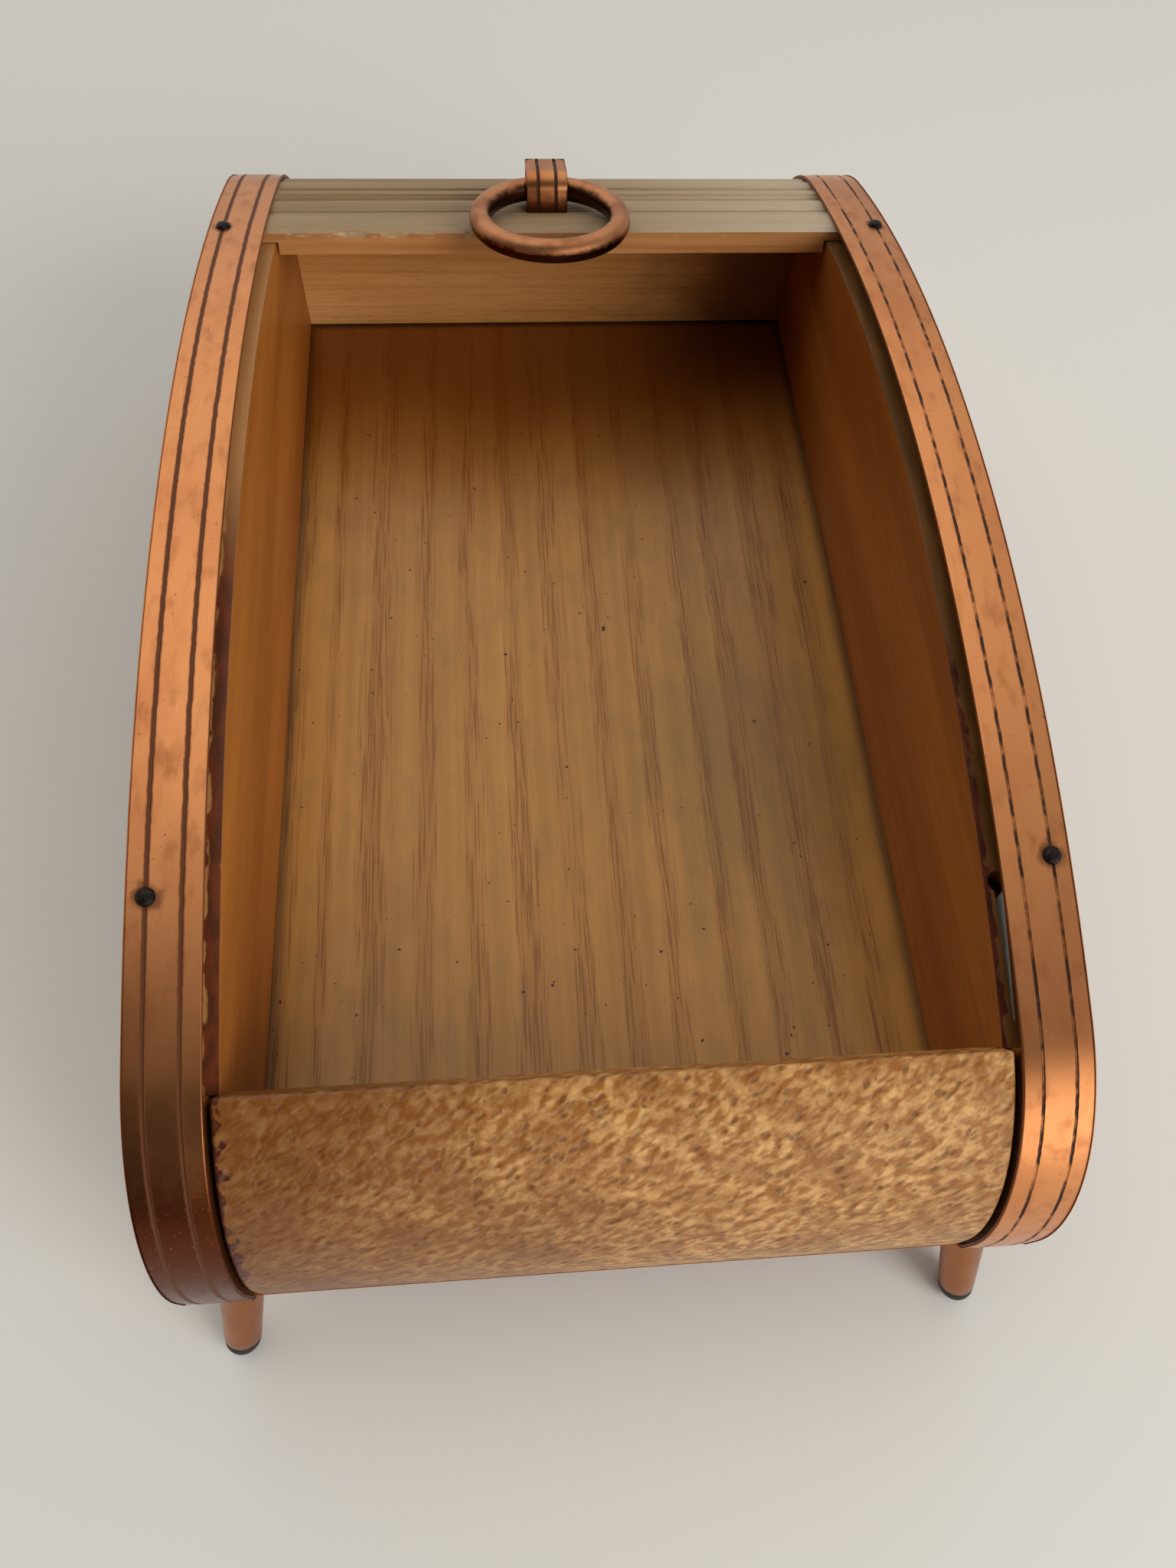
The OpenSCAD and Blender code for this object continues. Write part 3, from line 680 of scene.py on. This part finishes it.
def floor_wood():
    """Each growth ring starts with a row of open pores, and fades into denser, plain wood.

    The rings cross the board every RING_MM. The share within a ring is the fraction of x over
    that spacing, and the pores are narrow noise stretched along Y, kept where the share is low."""
    material, tree, surface, place = start("lacquered_ash", 0.32, specular=0.4)
    bend = mottle(tree, place, (60, 260, 45), 0.15, 0.85, detail=1)
    uneven = mottle(tree, place, (19, 900, 45), 0.2, 0.8, detail=1)
    shift = add(tree, "MULTIPLY_ADD", bend, 5.0, times(tree, uneven, 6.0))
    across = add(tree, "ADD", add(tree, "SeparateXYZ", place), shift)
    fuzz = mottle(tree, place, (1.2, 24, 60), detail=4)
    share = add(tree, "DIVIDE", add(tree, "MULTIPLY_ADD", fuzz, 1.8, across), RING_MM)
    share = add(tree, "FRACT", share)
    patches = mottle(tree, place, (13, 70, 60), 0.2, 0.5, detail=2)
    early = fade(tree, share, 0.56, 0.3, fade(tree, share, 0.0, 0.14), patches)
    pores = mottle(tree, place, (0.36, 15, 60), 0.49, 0.6, detail=3)
    fine = mottle(tree, place, (0.35, 6, 60), 0.56, 0.7, detail=2)
    shade = mottle(tree, place, (3.5, 240, 60), 0.3, 0.75, detail=3)
    blotch = mottle(tree, place, (4.5, 10, 9), 0.42, 0.75, detail=5)
    colour = paint(tree, "C38B44", ("B07C38", shade), ("8F6C3A", blotch, 0.3),
                   ("94581E", early, 0.28))
    lines = times(tree, pores, add(tree, "MULTIPLY_ADD", early, 0.62, 0.06))
    lines = add(tree, "MAXIMUM", lines, times(tree, fine, 0.16))
    away = add(tree, "VectorMath", place, GREY_SPOT, operation="DISTANCE", out="Value")
    away = add(tree, "MULTIPLY_ADD", mottle(tree, place, (16, 26, 16), 0.25, 0.75), 34.0, away)
    grey = fade(tree, away, 66.0, 22.0, 0.3)
    stain = mottle(tree, place, (30, 45, 30), 0.55, 0.75)
    spots = mottle(tree, place, (1.7, 1.7, 1.7), 0.765, 0.79, detail=1)
    axis = add(tree, "SeparateXYZ", place, out=None)
    # Painted shade: the rear of the floor, under the lid, is painted darker.
    rear = fade(tree, add(tree, "MULTIPLY_ADD", bend, 24.0, axis[1]), 30.0, 96.0, 0.85)
    # Painted shade along the side walls and the back panel, where the floor meets them.
    wall = fade(tree, add(tree, "ABSOLUTE", axis[0]), 62.5, 65.4, 0.6)
    painted_edge_shade = add(tree, "MAXIMUM", wall, fade(tree, axis[1], 102.6, 104.9, 0.95))
    colour = paint(tree, colour, ("7E480E", lines), ("6E5A2E", grey), ("7B4F1C", stain, 0.2),
                   ("3F220E", spots), ("763603", rear), ("2A1206", painted_edge_shade))
    cover(tree, surface, colour, add(tree, "SUBTRACT", 1.0, lines), 0.03)
    return material


# %% Close-grained side wood
def side_wood(name, grain, light="B56F2E", dark="99581F"):
    """grain is the direction of the grain, 0 for X and 1 for Y."""
    material, tree, surface, place = start(name, 0.4, specular=0.28)

    def along(length, width):
        """The size of a spot that is longer along the grain."""
        return tuple(length if axis == grain else width for axis in range(3))

    figure = mottle(tree, place, along(130, 16))
    lines = mottle(tree, place, along(60, 1.1), 0.42, 0.7)
    pores = mottle(tree, place, along(5, 0.3), 0.6, 0.72, detail=1)
    colour = paint(tree, light, (dark, figure), ("7C4415", lines, 0.22), ("5E3110", pores, 0.3))
    cover(tree, surface, colour, add(tree, "ADD", pores, lines), 0.01)
    return material, tree, surface, place, colour


TRACK_R = crown_r / MM - 3.9
SLIT_X, SLIT_Y = 68.0, -97.8
CROWN_AT = (0, 0, crown_z / MM)


def tracked_wood():
    """Side wood whose upper edge, the track, keeps runs of dark red glue and is painted dull
    brown, darker partly as painted shade under the band.

    The glue spreads from the track's inner edge, further on the left than on the right, and only
    where y is ahead of each side's limit. The slit by the track nail holds pale filler, which is
    whatever lies deeper than the track's radius from the crown's centre. Painted shade darkens
    the side where it meets the front board."""
    material, tree, surface, place, colour = side_wood("stained_side_wood_track", 1)
    facing = add(tree, "TexCoord", out="Normal")
    track = fade(tree, add(tree, "SeparateXYZ", facing, out=2), 0.35, 0.6)
    rubbed = mottle(tree, place, (3, 30, 3), 0.35, 0.7)
    axis = add(tree, "SeparateXYZ", place, out=None)
    # The track is painted dull brown, darker partly as painted shade under the band, and paler on
    # the left.
    colour = paint(tree, colour, (paint(tree, "6B4720", ("88592D", rubbed)), track),
                   ("C08850", fade(tree, axis[0], -60.0, -66.0, 0.85, track)))
    side = add(tree, "ABSOLUTE", axis[0])
    on_right = add(tree, "GREATER_THAN", axis[0], 0.0)
    ragged = mottle(tree, place, (1.8, 6, 1.8), detail=5)
    wide = add(tree, "MULTIPLY_ADD", on_right, -1.7, 68.9)
    spread = add(tree, "SUBTRACT", add(tree, "MULTIPLY_ADD", ragged, -1.4, wide), side)
    edge = fade(tree, side, 65.45, 65.6)
    left, right = fade(tree, axis[1], 12.0, -30.0), fade(tree, axis[1], -34.0, -48.0)
    reach = add(tree, "Mix", {0: on_right, 2: left, 3: right}, data_type="FLOAT")
    glued = times(tree, edge, track, reach)
    glue = fade(tree, spread, -0.25, 0.35, 0.9, glued)
    thick = mottle(tree, place, (2.2, 7, 2.2), 0.35, 0.65, detail=4)
    blobs = mottle(tree, place, (1.3, 3.2, 1.3), 0.66, 0.74, detail=4)
    blobs = fade(tree, side, 66.6, 66.0, blobs, glued)
    colour = paint(tree, colour, (paint(tree, "64200F", ("3C0D04", thick)), glue),
                   ("B58A74", blobs, 0.7))
    flat = add(tree, "VectorMath", place, (0, 1, 1), operation="MULTIPLY")
    radius = add(tree, "VectorMath", flat, CROWN_AT, operation="DISTANCE", out="Value")
    sunk = fade(tree, radius, TRACK_R - 0.15, TRACK_R - 0.4)
    off_x = add(tree, "ABSOLUTE", add(tree, "SUBTRACT", axis[0], SLIT_X))
    off_y = add(tree, "ABSOLUTE", add(tree, "SUBTRACT", axis[1], SLIT_Y))
    near = fade(tree, off_x, 1.0, 0.9, fade(tree, off_y, 11.2, 10.8))
    # Pale filler in the slit, and painted shade where the side meets the front board.
    colour = paint(tree, colour, ("D9D6CE", sunk, near),
                   ("2A1206", fade(tree, axis[1], -112.5, -114.5, 0.9)))
    cover(tree, surface, colour)
    return material


dress(floor_wood(), "inner_floor")
dress(tracked_wood(), "inner_side_left", "inner_side_right")
# Painted light and shadow: the back panel is painted much lighter than the sides, for the light
# that reaches it, and a painted shadow darkens its right part, where the right side shades it.
back_wood_painted_light, tree, surface, place, colour = side_wood("stained_back_wood_painted_light", 0, "EBAE70", "D29653")
corner = mottle(tree, place, (20, 20, 20))
corner = add(tree, "MULTIPLY_ADD", corner, -14.0, add(tree, "SeparateXYZ", place))
cover(tree, surface, paint(tree, colour, ("6A3209", fade(tree, corner, 8.0, 56.0, 0.85))))
dress(back_wood_painted_light, "inner_back")
dress(side_wood("stained_outer_wood", 1)[0], "side_board_left", "side_board_right")
dress(side_wood("stained_base_wood", 0)[0], "base_board", "rear_rail")

# %% [markdown]
# ## Front board
#
# The front is one thick curved board of a pale wood, cut so that its rays show: short dark
# flecks all over, with fine slanting ripples between them. The outline is carried across the
# box, and its edges are eased by a small bevel.


# %% Flecked wood
def fleck_wood():
    """Wood cut across its rays: scales with fine creases between them, and short dark pits.

    Scales and pits are both random cells, turned by the slant and longer along it. A crease is
    where the distance to a scale's edge is small, and a pit is the core of a cell of its own."""
    material, tree, surface, place = start("flecked_front_wood", 0.38, specular=0.4)
    slant, against, steep = ((0, 0, math.radians(angle)) for angle in (33, -24, -30))
    strip = add(tree, "UVMap", uv_map="mm")
    sway = mottle(tree, strip, (4, 4, 1), 0.2, 0.8, detail=2)
    moved = add(tree, "CombineXYZ", sway, sway)
    bent = add(tree, "VectorMath", strip, moved, operation="ADD")

    def cells(size, feature):
        """Distance within random cells of size mm, slanted, to their cores or their edges."""
        lean = {"Vector": bent, "Rotation": slant, "Scale": size}
        at = add(tree, "Mapping", lean, vector_type="TEXTURE")
        at = {"Vector": at, "Scale": 1.0}
        return add(tree, "TexVoronoi", at, feature=feature, out="Distance")

    edge = cells((2.9, 2.1, 1), "DISTANCE_TO_EDGE")
    some = mottle(tree, strip, (5, 5, 1), 0.26, 0.5)
    stroke = fade(tree, cells((3.4, 1.6, 1), "F1"), 0.42, 0.08, some)
    pit = add(tree, "MAXIMUM", stroke, fade(tree, cells((4.1, 3.2, 1), "F1"), 0.22, 0.1))
    crease = fade(tree, edge, 0.26, 0.0)
    ripple = mottle(tree, strip, (2.9, 1.7, 1), 0.36, 0.64, detail=2, turn=slant)
    cross = mottle(tree, strip, (5.5, 0.9, 1), 0.52, 0.72, detail=3, turn=against)
    cloud = mottle(tree, strip, (18, 8, 1), 0.4, 0.66, turn=steep)
    colour = paint(tree, "A96C2C", ("E3AE6C", ripple), ("985E27", cloud, 0.62),
                   ("85501F", crease, 0.24), ("85521F", cross, 0.3), ("623713", pit, 0.62))
    axis = add(tree, "SeparateXYZ", place, out=None)
    # Painted shade: the board's left part is painted darker, as the shade that falls there.
    painted_left_shade = add(tree, "MULTIPLY_ADD", mottle(tree, place, (30, 30, 20)), 26.0, axis[0])
    painted_left_shade = fade(tree, painted_left_shade, 34.0, -50.0, 0.8)
    ragged = mottle(tree, place, (2, 2, 3.5), 0.35, 0.7, detail=5)
    glue = fade(tree, add(tree, "MULTIPLY_ADD", ragged, 3.4, axis[0]), -63.6, -64.3)
    glue = fade(tree, axis[2], 44.0, 50.0, 0.9, glue)
    colour = paint(tree, colour, ("6E3B0D", painted_left_shade), ("4B1A0E", glue))
    scale = fade(tree, edge, 0.0, 0.35)
    relief = add(tree, "MULTIPLY_ADD", ripple, 0.45, add(tree, "SUBTRACT", scale, pit))
    cover(tree, surface, colour, relief, 0.1)
    return material


# %% The curved front board
FRONT_IN, FRONT_T, FRONT_EDGE_IN = 1.0 * MM, 7.5 * MM, 27.2 * MM
board_low, board_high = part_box("front_board")


def board_outline():
    """The board's outline in the Y-Z plane: outer face, top edge, inner face and foot."""
    radius = CORNER_R - FRONT_IN
    edge_a = math.asin((half_d - FRONT_EDGE_IN) / (crown_r - 0.95 * MM))
    edge_way = np.array([-math.sin(edge_a), math.cos(edge_a)])
    centre = np.array([-corner_y, corner_z])
    from_crown = centre - (0, crown_z)

    def meet(r):
        """Angle at which the circle of radius r meets the line of the board's top edge."""
        along = from_crown @ edge_way
        reach = along + math.sqrt(along**2 - from_crown @ from_crown + r**2)
        point = (0, crown_z) + reach * edge_way - centre
        return math.degrees(math.atan2(point[0], point[1]))

    outer, _ = arc(centre, radius, -90, meet(radius), 60)
    inner, _ = arc(centre, radius - FRONT_T, meet(radius - FRONT_T), -90, 40)
    foot = [(inner[-1][0], board_low.z), (outer[0][0], board_low.z)]
    return np.concatenate([outer, inner, foot])


def round_length(outline):
    """Length along a closed outline in mm, at each of its points and back at the first."""
    step = np.hypot(*np.diff(np.concatenate([outline, outline[:1]]), axis=0).T)
    return np.concatenate([[0], np.cumsum(step)]) / MM


def across_x(outline, stations):
    """Carries a closed outline in the Y-Z plane across the box, through the stations along x."""
    points = np.empty((len(stations), len(outline), 3))
    points[..., 0] = np.asarray(stations)[:, None]
    points[..., 1:] = outline
    uv = grid_uv(np.asarray(stations) / MM, round_length(outline))
    return sheet_of(points, uv, close_v=True, caps=True)


def ease_edges(made, width, segments=3):
    """A bevel on the sharp edges only, as sandpaper leaves them."""
    bevel = made.modifiers.new("eased_edges", "BEVEL")
    bevel.width, bevel.segments = width, segments
    bevel.limit_method, bevel.angle_limit = "ANGLE", math.radians(40)
    bevel.harden_normals = True


board = across_x(board_outline(), np.linspace(board_low.x, board_high.x, 30))
front = piece("curved_front_board", [board], fleck_wood(), "root", ["front_board"])
ease_edges(front, 0.9 * MM)

# %% [markdown]
# ## The lid's slats
#
# The slats are strips of grey-brown wood with rounded tops, 7.5 mm apart. The first one is
# wide, with a deep front lip that a hand can push, and its edge is chipped pale in places.
# Grain runs along each slat, so the pattern is stretched across the box.


# %% Slat wood
SLAT_T, SLAT_GAP, SLAT_PITCH, SLAT_ROUND = 2.8 * MM, 0.25 * MM, 7.5 * MM, 9 * MM


def slat_wood(name, own_map=False, fresh=False):
    """own_map reads the piece's own coordinates, where slats follow each other every 7.5 mm.

    Shade is painted in the valleys, where the face turns away from the crown's radius, and a
    painted reflection lightens the slats towards the right. fresh shows orange wood on the cut
    front face."""
    material, tree, surface, place = start(name, 0.5, specular=0.4)
    facing = add(tree, "TexCoord", out="Normal")
    if own_map:
        place = add(tree, "UVMap", uv_map="mm")
        along = add(tree, "SeparateXYZ", place, out=1)
        share = add(tree, "FRACT", add(tree, "DIVIDE", along, SLAT_PITCH / MM))
        off_middle = add(tree, "ABSOLUTE", add(tree, "SUBTRACT", share, 0.5))
        painted_valley_shade = fade(tree, off_middle, 0.42, 0.48, 0.5)
    else:
        flat = add(tree, "VectorMath", place, (0, 1, 1), operation="MULTIPLY")
        spoke = add(tree, "VectorMath", flat, CROWN_AT, operation="SUBTRACT")
        spoke = add(tree, "VectorMath", spoke, operation="NORMALIZE")
        cosine = add(tree, "VectorMath", spoke, facing, operation="DOT_PRODUCT", out="Value")
        on_top = fade(tree, add(tree, "SeparateXYZ", place, out=1), 100.0, 92.0, 0.5)
        painted_valley_shade = fade(tree, cosine, 0.945, 0.92, on_top)
    tone = mottle(tree, place, (110, 7, 7))
    grain = mottle(tree, place, (60, 0.9, 0.9), 0.38, 0.72, detail=4)
    pores = mottle(tree, place, (7, 0.3, 0.3), 0.62, 0.74, detail=1)
    # Painted reflection: the slats are painted lighter towards the right.
    painted_reflection_right = fade(tree, add(tree, "SeparateXYZ", place), -10.0, 70.0, 0.62)
    colour = paint(tree, "A88A66", ("937650", tone), ("DAC7AA", painted_reflection_right), ("A88F6D", grain, 0.22),
                   ("5B4128", pores, 0.3))
    if fresh:
        rearward = add(tree, "SeparateXYZ", facing, out=1)
        face = fade(tree, rearward, -0.55, -0.9)
        rings = mottle(tree, place, (60, 2, 2))
        pale = mottle(tree, place, (3.0, 0.9, 0.9), 0.56, 0.63, detail=4)
        radius = add(tree, "VectorMath", flat, CROWN_AT, operation="DISTANCE", out="Value")
        rim = fade(tree, radius, crown_r / MM - 3.2, crown_r / MM - 2.2, pale)
        colour = paint(tree, colour, (paint(tree, "C0864E", ("A56A33", rings)), face),
                       ("D2AE84", fade(tree, rearward, -0.2, -0.6, rim), 0.6))
    else:
        # Painted shade in the valleys between slats.
        colour = paint(tree, colour, ("3A2818", painted_valley_shade))
    cover(tree, surface, colour, add(tree, "SUBTRACT", grain, pores), 0.015)
    return material


dress(slat_wood("worn_slat_wood"), *(n for n in nodes if n.startswith("slat_")), "slats_tail")

# %% The lead slat
LEAD_W, LEAD_T, LEAD_LIP, LEAD_ROUND = 12.375 * MM, 5.6 * MM, 5.4 * MM, 24 * MM
LIP_IN, PATH_IN = 58 * MM, 0.95 * MM
path_r = crown_r - PATH_IN
cloth_r = path_r - SLAT_T
lip_a = math.asin((half_d - LIP_IN) / path_r)
lead_a = lip_a + LEAD_W / 2 / cloth_r
lead_at = (0, path_r * math.sin(lead_a), crown_z + path_r * math.cos(lead_a))
slat_low, slat_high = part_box("lead_slat")


def lead_section(deep):
    """The lead slat's outline: rounded top, upright front face, lip and flat back."""
    half = LEAD_W / 2
    t = np.linspace(-half, half, 26)
    top = np.stack([t, np.sqrt(LEAD_ROUND**2 - t**2) - LEAD_ROUND], -1)
    lip = LEAD_T if deep else SLAT_T
    inner = -half + LEAD_LIP
    under = [(half, -SLAT_T), (inner + 0.3 * MM, -SLAT_T), (inner, -lip), (-half, -lip)]
    front = np.linspace((-half, -lip), (-half, top[0, 1]), 8)[1:-1]
    return np.concatenate([top, under, front])


CHIPS = 15


def chipped(stations, outline, rng):
    """Moves the upper front corner in where the edge is chipped: a few short dips along x."""
    points = np.repeat(outline[None], len(stations), 0)
    dip = np.zeros(len(stations))
    middles, widths = rng.uniform(-62, -10, CHIPS), rng.uniform(0.6, 2.6, CHIPS)
    for at, width, deep in zip(middles, widths, rng.uniform(0.15, 0.55, CHIPS)):
        dip += deep * MM * np.exp(-(((stations / MM - at) / width) ** 4))
    dip = np.minimum(dip, 0.6 * MM)
    corner = np.hypot(*(outline - outline[0]).T)
    near = np.exp(-((corner / (0.7 * MM)) ** 2))
    points[..., 0] += dip[:, None] * near * 0.8
    points[..., 1] -= dip[:, None] * near
    return points


rng = np.random.default_rng(7)
LIP_HALF = 64.9 * MM
SLOT_HALF = STRAP_W / 2 + 0.15 * MM
deep_section = lead_section(True)
x_all = np.linspace(-LIP_HALF, LIP_HALF, 420)
local = chipped(x_all, deep_section, rng)
slot = np.abs(x_all - pivot[0]) < SLOT_HALF
notch = LEAD_W / 2 - 1.2 * MM
local[..., 0] = np.where(slot[:, None], np.minimum(local[..., 0], notch), local[..., 0])
points = np.empty((*local.shape[:2], 3))
points[..., 0] = x_all[:, None]
points[..., 1:] = lid_plane(local[..., 0], local[..., 1], lead_a, lead_at)
uv = grid_uv(x_all / MM, round_length(deep_section))
strips = [sheet_of(points, uv, close_v=True, caps=True)]
outline = lead_section(False)
flat = lid_plane(outline[:, 0], outline[:, 1], lead_a, lead_at)
for side in (-1, 1):
    ends = sorted((side * LIP_HALF, side * slat_high.x))
    strips.append(across_x(flat, np.linspace(*ends, 4)))
lead_finish = slat_wood("worn_lead_slat_wood", fresh=True)
piece("lead_slat_lip", strips, lead_finish, "lid", ["lead_slat"], sharp=30)

# %% [markdown]
# ## The drawn-out curtain
#
# When the lid is shut, its slats fill the space behind the lead slat. In the open lid they are
# stored down the back. One piece stands for those that come out: it is drawn together inside
# the second slat at rest, and it is given no body. Its points are placed so that the slats are
# evenly spaced once the lid is shut, if the piece is blended between the box and the lid.

# %% The curtain
slat_w = SLAT_PITCH - SLAT_GAP
second_a = lip_a + (LEAD_W + SLAT_GAP / 2 + 1.5 * SLAT_PITCH) / cloth_r
reach = slat_w - 0.02 * MM


def slat_rows():
    """Shut angle behind the first slat, and radius, of each row of points over the slats."""
    step_a = SLAT_PITCH / cloth_r
    count = math.ceil(lid_turn / step_a)
    half = slat_w / 2
    t = np.linspace(-half, half, 9)
    drop = SLAT_ROUND - np.sqrt(SLAT_ROUND**2 - t**2)
    angle = np.concatenate([[-half - 0.01 * MM], t, [half + 0.01 * MM]]) / cloth_r
    foot = [cloth_r + 0.2 * MM]
    radius = np.concatenate([foot, path_r - 0.06 * MM - drop, foot])
    angles = np.concatenate([angle + (k + 0.5) * step_a for k in range(count)])
    return np.clip(angles - SLAT_GAP / 2 / cloth_r, 0, lid_turn), np.tile(radius, count)


def drawn_together(angles, radius):
    """Rest angle of points that lie at angles when the lid is shut.

    A point at share t of the way forward turns by w = t * t * (3 - 2 * t) of the lid's turn, so
    its shut place is (1 - t) * width + (1 - w) * turn behind the first slat."""
    t = np.linspace(0, 1, 20001)
    behind = (1 - t) * reach / cloth_r + (1 - t * t * (3 - 2 * t)) * lid_turn
    share = np.interp(angles, behind[::-1], t[::-1])
    return second_a + np.arcsin((0.5 - share) * reach / radius)


angles, radius = slat_rows()
cloth_low = np.full_like(radius, cloth_r - 0.02 * MM)
stations = np.linspace(slat_low.x, slat_high.x, 12)
points = np.empty((len(stations), len(angles), 2, 3))
points[..., 0] = stations[:, None, None]
for layer, r in enumerate((radius, cloth_low)):
    rest = drawn_together(angles, r)
    points[:, :, layer, 1] = r * np.sin(rest)
    points[:, :, layer, 2] = crown_z + r * np.cos(rest)
length = angles * cloth_r / MM


def closed_grid(points, length):
    """Top, back, both ends and both edges of the curtain, as sheets that share their borders."""
    x_mm = points[:, 0, 0, 0] / MM
    flat_uv = grid_uv(x_mm, length)
    yield sheet_of(points[:, :, 0], flat_uv)
    yield sheet_of(points[:, ::-1, 1], flat_uv[:, ::-1])
    for end in (0, -1):
        yield sheet_of(points[end], grid_uv(length, (0, SLAT_T / MM)))
        yield sheet_of(points[:, end], grid_uv(x_mm, (0, SLAT_T / MM)))


curtain_finish = slat_wood("worn_curtain_wood", own_map=True)
sides = list(closed_grid(points, length))
curtain = piece("tambour_curtain", sides, curtain_finish, None)
outward(curtain.data, weld=True)
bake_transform(curtain)

# %% [markdown]
# ## Backing cloth
#
# A strip of plain brown cloth holds the slats together from below. It shows only from inside
# the box, so a simple weave is enough: two fine waves that cross.

# %% Backing cloth
cloth, tree, surface, place = start("woven_backing_cloth", 0.9)
THREAD_MM = 0.8
weave = {"Vector": place, "Scale": 2 * math.pi / THREAD_MM / 20}
warp = add(tree, "TexWave", weave, bands_direction="X", out=1)
weft = add(tree, "TexWave", weave, bands_direction="Y", out=1)
threads = times(tree, warp, weft)
cover(tree, surface, paint(tree, "4C3B2A", ("7A6448", threads)), threads, 0.05)
dress(cloth, "lid_cloth", "stored_cloth")

# %% [markdown]
# ## Floor and light
#
# The box stands on a plain pale table in soft daylight. Copper shows what it mirrors, so the
# room has to be right: a bright window at the front right, a pale wall at the rear, and a
# darker place at the front left, which no light reaches. Each is a round glow in the world. One
# wide lamp by the window gives the soft shadow.

# %% Table
table_mesh = bpy.data.meshes.new("table")
HALF = 3.0
corners = [(-HALF, -HALF, 0), (HALF, -HALF, 0), (HALF, HALF, 0), (-HALF, HALF, 0)]
table_mesh.from_pydata(corners, [], [(0, 1, 2, 3)])
table = show("table", table_mesh)
pale, tree, surface, place = start("pale_laminate", 0.55)
surface.inputs["Base Color"].default_value = srgb("E9E6DF")
table_mesh.materials.append(pale)


# %% Lamps and world
def lamp(name, at, aim, size, power):
    """A square area lamp at a point, turned to face aim. Metal doesn't mirror it."""
    light = bpy.data.lights.new(name, "AREA")
    light.size, light.energy = size, power
    made = show(name, light)
    made.location = at
    way = np.asarray(aim) - np.asarray(at)
    pitch = math.acos(-way[2] / np.linalg.norm(way))
    made.rotation_euler = (pitch, 0, math.atan2(way[1], way[0]) - math.pi / 2)
    made.visible_glossy = False


lamp("window", (0.72, -0.62, 0.66), (0, 0, 0.06), 0.6, 5.2)

world = bpy.data.worlds.new("room")
bpy.context.scene.world = world
world.use_nodes = True
tree = world.node_tree
way = add(tree, "TexCoord", out="Generated")


def glow(azimuth, elevation, full, none):
    """A round glow: 1 within full degrees of a direction, and 0 beyond none degrees."""
    a, e = math.radians(azimuth), math.radians(elevation)
    middle = (math.sin(a) * math.cos(e), math.cos(a) * math.cos(e), math.sin(e))
    cosine = add(tree, "VectorMath", way, middle, operation="DOT_PRODUCT", out="Value")
    return fade(tree, cosine, math.cos(math.radians(none)), math.cos(math.radians(full)))


level = add(tree, "MULTIPLY_ADD", glow(-18, 54, 14, 62), 0.54, 0.42)
level = add(tree, "MULTIPLY_ADD", glow(-40, 65, 5, 24), 0.15, level)
level = times(tree, level, add(tree, "SUBTRACT", 1.0, times(tree, glow(-158, 20, 34, 72), 0.84)))
level = add(tree, "MULTIPLY_ADD", glow(150, 6, 18, 42), 1.6, level)
tree.nodes["Background"].inputs[0].default_value = srgb("FFFDF9")
tree.links.new(level, tree.nodes["Background"].inputs[1])

# %% View settings
bpy.context.scene.view_settings.view_transform = "Standard"
